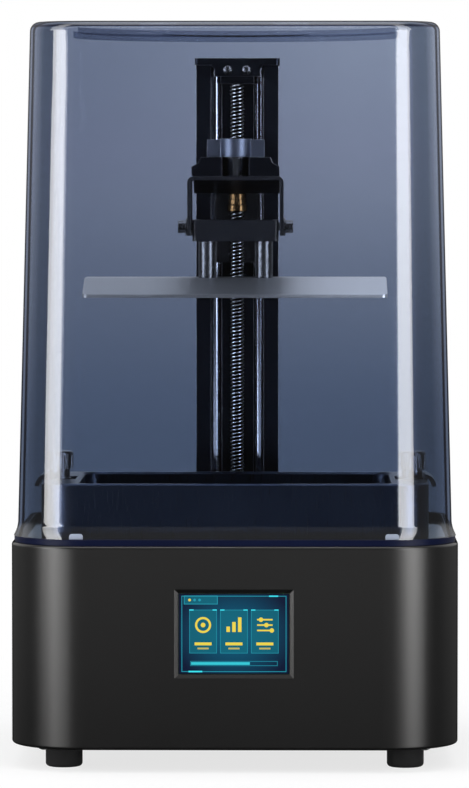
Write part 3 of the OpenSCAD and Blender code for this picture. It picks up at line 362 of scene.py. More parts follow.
# Painted shade on the near skin as it turns from the eye: how much darker its tint is painted, first at the
# bend, then in the lines of its rim.
COVER_RIM_PAINTED_SHADE = (
    (0.0, WHITE), (0.1, WHITE), (0.155, (0.51, 0.53, 0.56, 1.0)),
    (0.24, (0.45, 0.49, 0.52, 1.0)), (0.34, (0.45, 0.49, 0.52, 1.0)), (0.44, (0.60, 0.63, 0.66, 1.0)),
    (0.56, (0.80, 0.82, 0.84, 1.0)), (0.585, (0.5, 0.52, 0.56, 1.0)), (0.605, (0.03, 0.035, 0.06, 1.0)),
    (0.67, (0.03, 0.035, 0.06, 1.0)), (0.69, (0.38, 0.41, 0.48, 1.0)), (0.78, (0.38, 0.41, 0.48, 1.0)),
    (0.80, (0.03, 0.035, 0.06, 1.0)), (1.0, (0.03, 0.035, 0.06, 1.0)),
)
# The same painted shade lines along the cover's top edge, by height in metres.
TOP_PAINTED_SHADE_LINES = (
    (0.3860, WHITE), (0.3868, (0.8, 0.82, 0.86, 1.0)), (0.3872, (0.14, 0.15, 0.24, 1.0)),
    (0.3880, (0.06, 0.065, 0.11, 1.0)), (0.3882, (0.4, 0.43, 0.5, 1.0)), (0.3892, (0.4, 0.43, 0.5, 1.0)),
    (0.3894, (0.05, 0.055, 0.1, 1.0)), (0.3900, (0.05, 0.055, 0.1, 1.0)),
)


def cover_painted_shade_lines(g, body, facing, depth):
    """Painted shade: darkens the tint of the first skin that the eye meets, at the cover's bends and along
    its edges.
    """
    first = g.math("LESS_THAN", depth, 0.5)
    upright = g.math("ABSOLUTE", g.parts(g.add("ShaderNodeNewGeometry").outputs["True Normal"])[2])
    steep = g.product(facing, g.span(upright, 1.0, 0.0, 0.992, 0.9995), first)
    # Painted shade: darker lines where the near skin turns from the eye.
    body = g.times(body, g.ramp(steep, COVER_RIM_PAINTED_SHADE))
    curved = g.math("LESS_THAN", upright, 0.9998)
    # Painted shade lines along the top edge, on its curved faces.
    top_painted_shade = g.ramp(g.parts(g.place())[2], TOP_PAINTED_SHADE_LINES)
    return g.times(body, g.mix(g.product(first, curved), WHITE, top_painted_shade))


def cover_gloss(g, facing, depth, height):
    """How much one skin of the cover mirrors: more at a glancing view and at its foot."""
    front = g.span(g.math("LESS_THAN", depth, 1.5), 0.05, 1.0)
    base = g.span(facing, 0.042, 0.056, 0.09, 0.155)
    mirror = g.math("MULTIPLY_ADD", g.math("POWER", facing, 5.0), 0.1, base)
    return g.product(mirror, g.span(height, 1.7, 1.0, COVER_FOOT + 0.0022, COVER_FOOT + 0.0072), front)


def blend_shaders(g, factor, a, b):
    """Shader a where the factor is 0 and b where it is 1."""
    node = g.add("ShaderNodeMixShader")
    g.put(node.inputs[0], factor)
    g.put(node.inputs[1], a)
    g.put(node.inputs[2], b)
    return node.outputs[0]


def tinted_cover(name, outer):
    """Tinted acrylic: it colours what the eye sees through it, with painted light and shade in that tint, and
    lets the light in undimmed.
    """
    mat, g, bsdf, out = blank(name)
    g.tree.nodes.remove(bsdf)
    across, _, height = g.parts(g.place())
    # Painted light: the tint is lighter higher up the cover.
    body = g.ramp(height, COVER_TINT_AND_PAINTED_LIGHT)
    level = g.span(height, 0.0, 1.0, COVER_TINT_AND_PAINTED_LIGHT[0][0], COVER_TINT_AND_PAINTED_LIGHT[-1][0])
    # Painted shade: the tint is darker towards the left, most near the top.
    left = g.span(across, 0.19, 0.0, -0.08, 0.06)
    body = g.mix(g.product(left, level), body, (0.3, 0.34, 0.44, 1.0))
    facing = g.facing()
    path = g.add("ShaderNodeLightPath")
    seen, depth = path.outputs["Is Camera Ray"], path.outputs["Transparent Depth"]
    if outer:
        body = cover_painted_shade_lines(g, body, facing, depth)
    tint = g.add("ShaderNodeBsdfTransparent")
    g.put(tint.inputs["Color"], body)
    clear = g.add("ShaderNodeBsdfTransparent")
    through = blend_shaders(g, seen, clear.outputs[0], tint.outputs[0])
    gloss = g.add("ShaderNodeBsdfGlossy")
    polish = use_group(g, POLISH, Low=0.015, High=0.03)
    g.put(gloss.inputs["Roughness"], polish.outputs["Roughness"])
    mirror = g.product(cover_gloss(g, facing, depth, height), seen)
    g.put(out.inputs["Surface"], blend_shaders(g, mirror, through, gloss.outputs[0]))
    return mat


def clear_sheet(name, tint, rough, ribs=None):
    """Thin clear film or lens, with round ribs where asked."""
    mat, g, bsdf, _ = blank(name)
    polish = use_group(g, POLISH, Low=rough, High=rough * 2)
    bsdf.inputs["Base Color"].default_value = tint
    g.put(bsdf.inputs["Roughness"], polish.outputs["Roughness"])
    bsdf.inputs["Transmission Weight"].default_value = 1.0
    bsdf.inputs["IOR"].default_value = 1.36
    if ribs:
        centre = g.add("ShaderNodeMapping")
        g.put(centre.inputs["Vector"], g.place())
        centre.inputs["Location"].default_value = (0.0, -RIBS_Y, 0.0)
        rings = g.add("ShaderNodeTexWave", wave_type="RINGS", rings_direction="Z")
        g.put(rings.inputs["Vector"], centre.outputs[0])
        rings.inputs["Scale"].default_value = ribs
        g.put(bsdf.inputs["Normal"], g.bump(rings.outputs["Fac"], 0.6, 0.0004))
    return mat


def make_shape_groups():
    """Masks for drawing on a flat face, in millimetres from the face's middle: a rectangle and a disc."""
    trees = []
    for name, sizes in (("rectangle_mask", ("Half width", "Half height")), ("disc_mask", ("Radius",))):
        inputs = [(label, FLOAT, 0.0) for label in ("X", "Y", "Across", "Up")]
        inputs += [(label, FLOAT, 1.0) for label in sizes] + [("Line", FLOAT, 0.2)]
        g, a, b = node_group(name, inputs, [("Fill", FLOAT), ("Edge", FLOAT)])
        dx = g.math("SUBTRACT", a.outputs["X"], a.outputs["Across"])
        dy = g.math("SUBTRACT", a.outputs["Y"], a.outputs["Up"])
        if name == "disc_mask":
            reach = g.math("SQRT", g.total(g.product(dx, dx), g.product(dy, dy)))
            far = g.math("SUBTRACT", reach, a.outputs["Radius"])
        else:
            past_x = g.math("SUBTRACT", g.math("ABSOLUTE", dx), a.outputs["Half width"])
            past_y = g.math("SUBTRACT", g.math("ABSOLUTE", dy), a.outputs["Half height"])
            far = g.math("MAXIMUM", past_x, past_y)
        g.put(b.inputs["Fill"], g.math("LESS_THAN", far, 0.0))
        g.put(b.inputs["Edge"], g.math("LESS_THAN", g.math("ABSOLUTE", far), a.outputs["Line"]))
        trees.append(g.tree)
    return trees


def screen_face(name):
    """Lit display behind glass: a plain panel of tiles, dials and bars, with no words on it."""
    rect, disc = make_shape_groups()
    mat, g, bsdf, _ = blank(name)
    across_m, _, height_m = g.parts(g.place())
    x = g.math("MULTIPLY", across_m, 1000.0)
    y = g.math("MULTIPLY", g.math("SUBTRACT", height_m, SCREEN_Z), 1000.0)

    def shape(tree, across, up, line, **sizes):
        node = use_group(g, tree, Across=across, Up=up, Line=line, **sizes)
        g.put(node.inputs["X"], x)
        g.put(node.inputs["Y"], y)
        return node

    def box(across, up, half_w, half_h, line=0.2):
        return shape(rect, across, up, line, **{"Half width": half_w, "Half height": half_h})

    def dot(across, up, radius, line=0.2):
        return shape(disc, across, up, line, Radius=radius)

    reach = g.math("SQRT", g.total(g.product(x, x), g.product(y, y, 1.4)))
    colour = g.mix(g.span(reach, 0.0, 1.0, 6.0, 32.0), srgb(0, 84, 112), srgb(0, 12, 40))
    teal, cyan = srgb(6, 104, 122), srgb(32, 150, 170)
    bright, yellow = srgb(60, 225, 240), srgb(240, 214, 70)
    tile_pitch, bar_pitch, tab_y, progress_y = 16.0, 3.0, 17.6, -15.4
    frame_w, frame_h, lit_w, lit_h = 27.0, 19.6, 28.1, 20.5

    def paint(mask, tone, share=1.0):
        """Lays a tone over the picture so far, where the mask is 1."""
        nonlocal colour
        colour = g.mix(g.math("MULTIPLY", mask, share), colour, tone)

    for part, tone, share in (
        (box(-17.2, tab_y, 8.6, 2.1).outputs["Fill"], teal, 0.8),
        (box(-17.2, tab_y, 8.6, 2.1).outputs["Edge"], cyan, 0.9),
        (box(0.0, 0.0, frame_w, frame_h).outputs["Edge"], cyan, 0.85),
        (box(20.5, frame_h, 2.4, 0.35).outputs["Fill"], bright, 1.0),
        (box(-20.0, -frame_h, 3.6, 0.4).outputs["Fill"], bright, 1.0),
        (box(0.0, progress_y, 22.5, 1.1).outputs["Edge"], cyan, 0.6),
        (box(-7.0, progress_y, 15.2, 0.7).outputs["Fill"], bright, 0.75),
    ):
        paint(part, tone, share)
    for i, tone in enumerate((yellow, cyan, cyan)):
        paint(dot(-23.0 + 2.6 * i, tab_y, 0.7).outputs["Fill"], tone)
    for column in (-tile_pitch, 0.0, tile_pitch):
        tile = box(column, 1.2, 7.0, 11.2, 0.16)
        paint(tile.outputs["Fill"], teal, 0.75)
        paint(tile.outputs["Edge"], cyan, 0.8)
        for side in (-6.0, 6.0):
            paint(box(column + side, 12.4, 1.1, 0.3).outputs["Fill"], bright)
        paint(box(column, -5.2, 4.4, 0.75).outputs["Fill"], yellow)
        paint(box(column, -7.6, 2.9, 0.45).outputs["Fill"], yellow, 0.6)
    paint(dot(-tile_pitch, 4.6, 3.6, 0.55).outputs["Edge"], yellow)
    paint(dot(-tile_pitch, 4.6, 1.2).outputs["Fill"], yellow)
    for i, height in enumerate((1.4, 2.6, 3.8)):
        paint(box((i - 1) * bar_pitch, 1.0 + height, 0.9, height).outputs["Fill"], yellow)
    for across, up in ((14.0, 7.4), (16.8, 4.6), (19.6, 1.8)):
        paint(box(tile_pitch, up, 4.0, 0.4).outputs["Fill"], yellow)
        paint(dot(across, up, 1.15).outputs["Fill"], yellow)
    lit = box(0.0, 0.0, lit_w, lit_h).outputs["Fill"]
    colour = g.mix(lit, srgb(2, 4, 12), colour)
    bsdf.inputs["Base Color"].default_value = (0.004, 0.006, 0.012, 1.0)
    polish = use_group(g, POLISH, Low=0.05, High=0.09)
    g.put(bsdf.inputs["Roughness"], polish.outputs["Roughness"])
    g.put(bsdf.inputs["Emission Color"], colour)
    bsdf.inputs["Emission Strength"].default_value = 1.0
    bsdf.inputs["Specular IOR Level"].default_value = 0.03
    return mat


def circuit_board(name, dark, light):
    """Solder mask with the faint pattern of tracks under it."""
    mat, g, bsdf, _ = blank(name)
    cells = g.add("ShaderNodeTexVoronoi", distance="MANHATTAN", feature="F1")
    g.put(cells.inputs["Vector"], g.place())
    cells.inputs["Scale"].default_value = 420.0
    track = g.math("GREATER_THAN", cells.outputs["Distance"], 0.55)
    g.put(bsdf.inputs["Base Color"], g.mix(track, srgb(*dark), srgb(*light)))
    g.put(bsdf.inputs["Normal"], g.bump(track, 0.15, 0.0001))
    bsdf.inputs["Roughness"].default_value = 0.3
    bsdf.inputs["Coat Weight"].default_value = 0.3
    return mat


# Painted reflection on the build plate's face: how bright it is painted, by the distance to the right of its
# middle in metres.
PLATE_PAINTED_REFLECTION = (
    (-0.08, 0.55), (-0.045, 0.52), (-0.02, 0.36), (0.003, 0.3),
    (0.012, 0.34), (0.027, 0.6), (0.05, 0.85), (0.074, 0.95),
)


def make_materials():
    """Every finish of the printer, by the name of its slot."""
    made = {}

    def add(maker, name, *values, **more):
        made[name] = maker(name, *values, **more)

    # The base with its display, and what it stands on.
    # The base's gloss is painted lower towards its foot, as painted shade.
    add(plastic, "shell_black", (12, 12, 12), (15, 15, 15), (0.28, 0.33), 2600.0, 0.06, 0.46, satin=True)
    add(plastic, "bottom_steel", (40, 40, 42), (48, 48, 50), (0.5, 0.65), 3200.0, 0.25)
    add(plastic, "foot_rubber", (18, 18, 19), (27, 27, 28), (0.7, 0.85), 1500.0, 0.3, 0.3)
    add(metal, "screw_zinc", (150, 152, 156), (182, 184, 188), (0.25, 0.4))
    add(polished, "deck_gloss", (9, 11, 18), (13, 15, 23), (0.05, 0.08))
    add(screen_face, "screen_glass")
    add(circuit_board, "circuit_green", (12, 58, 34), (22, 84, 48))

    # The light mask, the lamp under it, its cooling and the sockets.
    add(polished, "mask_screen", (9, 10, 15), (13, 14, 22), (0.03, 0.07), specular=0.6, coat=0.1)
    add(metal, "hood_metal", (196, 199, 204), (214, 217, 221), (0.18, 0.3))
    add(clear_sheet, "lens_clear", (0.9, 0.95, 0.98, 1.0), 0.04, ribs=90.0)
    add(circuit_board, "led_board", (214, 216, 210), (232, 233, 228))
    add(metal, "sink_aluminium", (176, 179, 184), (194, 197, 201), (0.35, 0.5), ROLLED_DEEP)
    add(plastic, "fan_plastic", (24, 24, 26), (32, 32, 34), (0.4, 0.55), 900.0, 0.15)
    add(plastic, "socket_black", (18, 18, 20), (26, 26, 28), (0.35, 0.5), 1200.0, 0.15)
    add(metal, "port_shell", (176, 178, 182), (198, 200, 204))

    # The drive and the column.
    add(metal, "brass", (104, 82, 54), (122, 98, 68), (0.16, 0.3), TURNED)
    add(plastic, "motor_black", (26, 26, 28), (34, 34, 36), (0.35, 0.5), 1500.0, 0.15)
    add(metal, "mount_steel", (150, 153, 158), (176, 179, 183), (0.3, 0.45))
    add(metal, "coupling_aluminium", (190, 193, 197), (208, 210, 214), (0.2, 0.32), TURNED)
    add(metal, "shaft_steel", (92, 95, 102), (112, 115, 122), (0.12, 0.22), DRAWN, 0.05)
    # The column's bright edge colour is a painted highlight.
    add(metal, "column_anodised", (34, 38, 48), (44, 48, 58), (0.3, 0.42), (3000.0, 3000.0, 30.0), 0.08,
        worn=(214, 217, 224))
    add(metal, "rod_chrome", (150, 155, 165), (166, 171, 181), (0.05, 0.1), DRAWN, 0.02)
    add(thread_steel, "screw_thread")
    add(plastic, "slide_composite", (14, 16, 20), (20, 22, 27), (0.4, 0.5), 900.0, 0.1, 0.3)

    # The arm and the build plate.
    # The arm's brighter edge colours below are painted highlights.
    add(metal, "arm_anodised", (32, 35, 44), (40, 43, 52), (0.28, 0.4), (60.0, 2600.0, 2600.0), 0.06,
        worn=(130, 134, 144))
    add(metal, "arm_bright", (88, 90, 94), (104, 106, 110), (0.2, 0.28), TURNED, 0.04)
    add(metal, "arm_satin", (94, 102, 118), (110, 118, 134), (0.36, 0.44), TURNED, 0.04,
        worn=(180, 184, 192))
    add(metal, "screw_black", (88, 90, 96), (104, 106, 112), (0.2, 0.32), (2600.0, 2600.0, 80.0), 0.05)
    # The build plate's face has a painted reflection: darker in its middle, brighter to the right.
    add(metal, "plate_aluminium", (238, 240, 244), (248, 249, 252), (0.3, 0.42), (30.0, 2600.0, 2600.0), 0.12,
        metallic=0.7, sheen=PLATE_PAINTED_REFLECTION)
    add(plastic, "bracket_black", (17, 20, 28), (22, 25, 34), (0.3, 0.42), 3000.0, 0.08, coat=0.1)

    # The vat and the cover.
    add(metal, "vat_anodised", (62, 70, 88), (72, 80, 98), (0.26, 0.34), TURNED, 0.015)
    add(clear_sheet, "film_clear", (0.82, 0.86, 0.93, 1.0), 0.05)
    add(metal, "frame_steel", (160, 162, 166), (182, 184, 188), (0.25, 0.4))
    # The thumb screws' bright edge colour is a painted highlight.
    add(metal, "thumb_black", (84, 87, 95), (98, 101, 110), (0.2, 0.3), TURNED, 0.05,
        worn=(190, 193, 200))
    add(tinted_cover, "cover_tinted", outer=True)
    add(tinted_cover, "cover_inner", outer=False)
    add(plastic, "cover_tab", (214, 217, 226), (230, 232, 240), (0.3, 0.45), 900.0, 0.05)
    add(plastic, "seal_black", (5, 11, 36), (8, 15, 42), (0.35, 0.45), 1200.0, 0.1, 0.1)
    return made


# ---- pieces ----

def new_piece(name, verts=(), faces=()):
    """A new object in the scene, with the mesh of these points and faces."""
    mesh = bpy.data.meshes.new(name)
    mesh.from_pydata(verts, [], faces)
    mesh.validate()
    piece = bpy.data.objects.new(name, mesh)
    bpy.context.scene.collection.objects.link(piece)
    return piece


def finish_piece(piece, body, sharp_deg):
    """Rounds a piece's shading, keeps its edges sharp and lets it move with its body."""
    for polygon in piece.data.polygons:
        polygon.use_smooth = True
    piece.data.set_sharp_from_angle(angle=math.radians(sharp_deg))
    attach(piece, body)


def shape_tree(name, sizes):
    """A tree that makes a shape from named sizes: its graph and the sockets of those sizes."""
    tree = bpy.data.node_groups.new(name, "GeometryNodeTree")
    tree.interface.new_socket("Shape", in_out="INPUT", socket_type=SHAPE)
    tree.interface.new_socket("Shape", in_out="OUTPUT", socket_type=SHAPE)
    for label, value in sizes.items():
        kind = WHOLE if isinstance(value, int) else FLOAT
        tree.interface.new_socket(label, in_out="INPUT", socket_type=kind)
    tree.interface.new_socket("Finish", in_out="INPUT", socket_type=FINISH)
    return Graph(tree), tree.nodes.new("NodeGroupInput").outputs


def end_tree(g, inlet, shape):
    """Ends a tree with its copies made real and its finish set."""
    real = g.add("GeometryNodeRealizeInstances")
    g.put(real.inputs["Geometry"], shape)
    dressed = g.add("GeometryNodeSetMaterial")
    g.put(dressed.inputs["Geometry"], real.outputs["Geometry"])
    g.put(dressed.inputs["Material"], inlet["Finish"])
    g.put(g.add("NodeGroupOutput").inputs["Shape"], dressed.outputs["Geometry"])
    return g.tree


def grow(piece, tree, sizes, material):
    """Runs a tree on a piece, then leaves the piece with the plain mesh that the tree made."""
    modifier = piece.modifiers.new(tree.name, "NODES")
    modifier.node_group = tree
    values = {**sizes, "Finish": material}
    for item in tree.interface.items_tree:
        if item.in_out == "INPUT" and item.name in values:
            modifier[item.identifier] = values[item.name]
    bpy.context.view_layer.update()
    ready = piece.evaluated_get(bpy.context.evaluated_depsgraph_get())
    mesh = bpy.data.meshes.new_from_object(ready)
    piece.modifiers.remove(modifier)
    # A primitive in the tree brings an empty material slot of its own.
    mesh.materials.clear()
    mesh.materials.append(material)
    start = piece.data
    piece.data = mesh
    bpy.data.meshes.remove(start)
    mesh.name = piece.name


def thread_tree(sizes):
    """A bar whose skin rises and falls with its height and turn, as a rolled thread does."""
    root_end, crest_start = 1.6 / 7, 2.6 / 7
    g, size = shape_tree("rolled_thread", sizes)
    bar = g.add("GeometryNodeMeshCylinder", fill_type="NGON")
    for label in ("Vertices", "Side Segments", "Radius", "Depth"):
        g.put(bar.inputs[label], size[label])
    x, y, z = g.parts(g.add("GeometryNodeInputPosition").outputs[0])
    # The bar is mirrored, so that its rows count up from the foot, and its faces are flipped to match.
    climb = g.math("SUBTRACT", g.product(size["Depth"], 0.5), z)
    turn = g.math("DIVIDE", g.math("ARCTAN2", y, x), math.tau)
    pitches = g.math("SUBTRACT", g.math("DIVIDE", climb, size["Lead"]), turn)
    phase = g.math("FRACT", g.product(pitches, size["Starts"]))
    from_root = g.math("SUBTRACT", 0.5, g.math("ABSOLUTE", g.math("SUBTRACT", phase, 0.5)))
    reach = g.span(from_root, size["Root radius"], size["Radius"], root_end, crest_start)
    tip = size["Tip radius"]
    past_tip = g.math("MAXIMUM", 0.0, g.math("SUBTRACT", g.total(climb, tip), size["Depth"]))
    fall = g.math("SUBTRACT", g.product(tip, tip), g.product(past_tip, past_tip))
    tip_reach = g.total(g.math("SUBTRACT", size["Radius"], tip), g.math("SQRT", fall))
    share = g.math("DIVIDE", g.math("MINIMUM", reach, tip_reach), size["Radius"])
    spot = g.add("ShaderNodeCombineXYZ")
    g.put(spot.inputs[0], g.product(x, share))
    g.put(spot.inputs[1], g.math("MULTIPLY_ADD", y, share, size["Back from middle"]))
    g.put(spot.inputs[2], g.total(climb, size["Foot height"]))
    shaped = g.add("GeometryNodeSetPosition")
    g.put(shaped.inputs["Geometry"], bar.outputs["Mesh"])
    g.put(shaped.inputs["Position"], spot.outputs[0])
    flipped = g.add("GeometryNodeFlipFaces")
    g.put(flipped.inputs["Mesh"], shaped.outputs["Geometry"])
    return end_tree(g, size, flipped.outputs["Mesh"])


def lead_thread(material):
    """The screw with its two-start trapezoidal thread, in the place of the plain shaft."""
    low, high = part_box("lead_screw")
    radius = (high.x - low.x) / 2
    lead, tooth, rows_per_turn = 0.004, 0.0012, 24
    sizes = {
        "Vertices": 32, "Side Segments": int((high.z - low.z) / lead * rows_per_turn), "Starts": 2,
        "Radius": radius, "Root radius": radius - tooth, "Tip radius": 0.0028, "Lead": lead,
        "Depth": high.z - low.z, "Foot height": low.z, "Back from middle": SCREW_Y,
    }
    piece = new_piece("lead_screw_thread")
    grow(piece, thread_tree(sizes), sizes, material)
    finish_piece(piece, "screw", 30.0)
    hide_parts("lead_screw")


# How far the centres of the cover's round corners are from its middle, to the side and to the front.
CORE = Vector((0.07725, 0.0746))
CORNER_STEPS, SIDE_STEPS = 20, 30


def plan_points():
    """Where a rounded rectangle's outline is drawn from, and its outward direction, at each point."""
    centres = [Vector((sx * CORE.x, sy * CORE.y)) for sx, sy in ((1, 1), (-1, 1), (-1, -1), (1, -1))]
    points = []
    for turn, centre in enumerate(centres):
        for i in range(CORNER_STEPS + 1):
            a = math.radians(90 * turn + 90 * i / CORNER_STEPS)
            points.append((centre, Vector((math.cos(a), math.sin(a)))))
        following = centres[(turn + 1) % 4]
        for i in range(1, SIDE_STEPS):
            points.append((centre.lerp(following, i / SIDE_STEPS), points[-1][1]))
    return points


def arc(centre_x, centre_z, radius, start_deg, end_deg, steps):
    """Points of an arc in a section, as (distance out, height)."""
    points = []
    for i in range(steps + 1):
        a = math.radians(start_deg + (end_deg - start_deg) * i / steps)
        points.append((centre_x + radius * math.cos(a), centre_z + radius * math.sin(a)))
    return points


def cover_sections():
    """The cover's section from foot to top, outside and inside, as rings of points."""
    wall, flare, flare_h = 0.0025, 0.0023, 0.0085
    side_r, top_r, edge_r = 0.0366, 0.0300, 0.005
    dish_r, ring_r, ease = 0.0853, 0.0394, 0.0004
    dish_z, ring_z, middle_r = COVER_TOP - 0.0037, COVER_TOP - 0.0045, 0.02
    flare_r = (flare_h ** 2 + flare ** 2) / (2 * flare)
    knee, edge_z = COVER_FOOT + flare_h, COVER_TOP - edge_r
    flare_steps, side_steps, edge_steps = 8, 6, 10
    points = plan_points()

    def ring(out, z):
        return [(c.x + d.x * out, c.y + d.y * out, z) for c, d in points]

    def circle(radius, z):
        # The spread shares the points of the round corners out around the circle.
        spread = 0.025
        angles = [math.atan2(c.y + d.y * spread, c.x + d.x * spread) for c, d in points]
        return [(radius * math.cos(a), radius * math.sin(a), z) for a in angles]

    def side(inset):
        radius, axis = flare_r + inset, side_r + flare_r
        foot_deg = math.degrees(math.asin(flare_h / radius))
        section = [(2 * axis - x, z) for x, z in arc(axis, knee, radius, -foot_deg, 0.0, flare_steps)]
        for i in range(1, side_steps):
            share = i / side_steps
            section.append((side_r - inset + (top_r - side_r) * share, knee + (edge_z - knee) * share))
        section += arc(top_r - edge_r, edge_z, edge_r - inset, 0.0, 90.0, edge_steps)
        return [ring(out, z) for out, z in section]

    dish = (
        (dish_r + ease, COVER_TOP), (dish_r, COVER_TOP - ease),
        (dish_r, dish_z + ease), (dish_r - ease, dish_z),
        (ring_r + ease, dish_z), (ring_r, dish_z - ease),
        (ring_r - ease / 2, ring_z), (middle_r, ring_z),
    )
    under = ((dish_r + wall, COVER_TOP - wall), (dish_r + wall, dish_z - wall), (middle_r, dish_z - wall))
    outer = side(0.0) + [circle(r, z) for r, z in dish]
    inner = side(wall) + [circle(r, z) for r, z in under]
    return outer, inner


def cover_shell(materials):
    """The cover as one smooth closed skin: flared foot, leaning side, rounded edge and dished top."""
    outer, inner = cover_sections()
    loops = inner[::-1] + outer
    around = len(outer[0])
    first, last = 0, 1 + len(loops) * around
    verts = [(0.0, 0.0, inner[-1][0][2])]
    for loop in loops:
        verts += loop
    verts.append((0.0, 0.0, outer[-1][0][2]))
    faces = []
    for row in range(1, last - around, around):
        for i in range(around):
            j = (i + 1) % around
            faces.append((row + i, row + j, row + around + j, row + around + i))
    for i in range(around):
        j = (i + 1) % around
        faces.append((first, 1 + j, 1 + i))
        faces.append((last, last - around + i, last - around + j))
    piece = new_piece("cover_shell", verts, faces)
    piece.data.materials.append(materials["cover_tinted"])
    piece.data.materials.append(materials["cover_inner"])
    for polygon in piece.data.polygons[:(len(inner) - 1) * around]:
        polygon.material_index = 1
    finish_piece(piece, "lid", 32.0)
    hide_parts("cover")


def tabs_tree(sizes):
    """Two copies of a tab along the front of the foot, and the same two turned half round for the back."""
    g, size = shape_tree("foot_tabs", sizes)
    start = g.add("ShaderNodeCombineXYZ")
    g.put(start.inputs["X"], g.product(size["Out from middle"], -1.0))
    step = g.add("ShaderNodeCombineXYZ")
    g.put(step.inputs["X"], g.product(size["Out from middle"], 2.0))
    places = g.add("GeometryNodeMeshLine")
    g.put(places.inputs["Count"], size["Tabs a side"])
    g.put(places.inputs["Start Location"], start.outputs[0])
    g.put(places.inputs["Offset"], step.outputs[0])
    front = g.add("GeometryNodeInstanceOnPoints")
    g.put(front.inputs["Points"], places.outputs[0])
    g.put(front.inputs["Instance"], size["Shape"])
    back = g.add("GeometryNodeTransform")
    g.put(back.inputs["Geometry"], front.outputs[0])
    g.put(back.inputs["Rotation"], Euler((0.0, 0.0, math.pi)))
    both = g.add("GeometryNodeJoinGeometry")
    g.put(both.inputs[0], front.outputs[0])
    g.put(both.inputs[0], back.outputs[0])
    return end_tree(g, size, both.outputs[0])


def cover_tabs(material):
    """Four rounded tabs inside the cover's foot, which seat it on the deck."""
    half, height, depth, round_r, round_steps = 0.00355, 0.0028, 0.0029, 0.0014, 5
    outer, beyond_core = 0.1107, 0.00475
    outline = [(-half, 0.0), (half, 0.0)]
    outline += arc(half - round_r, height - round_r, round_r, 0.0, 90.0, round_steps)
    outline += arc(-half + round_r, height - round_r, round_r, 90.0, 180.0, round_steps)
    n = len(outline)
    verts = [(x, y, COVER_FOOT + z) for y in (-outer, depth - outer) for x, z in outline]
    faces = [tuple(range(n)), tuple(reversed(range(n, 2 * n)))]
    for i in range(n):
        j = (i + 1) % n
        faces.append((j, i, n + i, n + j))
    piece = new_piece("cover_tabs", verts, faces)
    sizes = {"Tabs a side": 2, "Out from middle": CORE.x + beyond_core}
    grow(piece, tabs_tree(sizes), sizes, material)
    finish_piece(piece, "lid", 40.0)


def dress_nodes(materials):
    """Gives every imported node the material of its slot; the turned pieces of the arm are brighter."""
    slots = {s["node"]: s["material_slot"] for s in frame["record"]["subparts"]}
    slots.update({"plate_posts": "arm_bright", "clamp_collar": "arm_bright", "platform_knob": "arm_satin"})
    for node, piece in frame["nodes"].items():
        for slot in piece.material_slots:
            slot.material = materials[slots[node]]


# ---- stage ----

def looking(place, target):
    """Where a lamp or a camera stands and turns so that it looks at its target."""
    aim = (Vector(target) - Vector(place)).to_track_quat("-Z", "Y")
    return Matrix.Translation(place) @ aim.to_matrix().to_4x4()


def area_light(name, place, target, size, power):
    """A lamp that lights matt surfaces; shiny ones show the world's boxes in its place."""
    data = bpy.data.lights.new(name, "AREA")
    data.shape = "RECTANGLE"
    data.size, data.size_y = size
    data.energy = power
    lamp = bpy.data.objects.new(name, data)
    lamp.matrix_world = looking(place, target)
    lamp.visible_glossy = False
    bpy.context.scene.collection.objects.link(lamp)


def softbox(name, azimuth_deg, half_deg, distance, low, high, radiance):
    """An upright light box; azimuth is counted from the front, to the right."""
    a = math.radians(azimuth_deg)
    mid_height = (low + high) / 2
    place = (distance * math.sin(a), -distance * math.cos(a), mid_height)
    width, height = 2 * distance * math.tan(math.radians(half_deg)), high - low
    area_light(name, place, (0.0, 0.0, mid_height), (width, height), radiance * math.pi * width * height)


# The middle and half the width of each upright light box, in degrees of azimuth.
LEFT_BOX, RIGHT_BOX = (-60.5, 14.6), (40.5, 13.4)


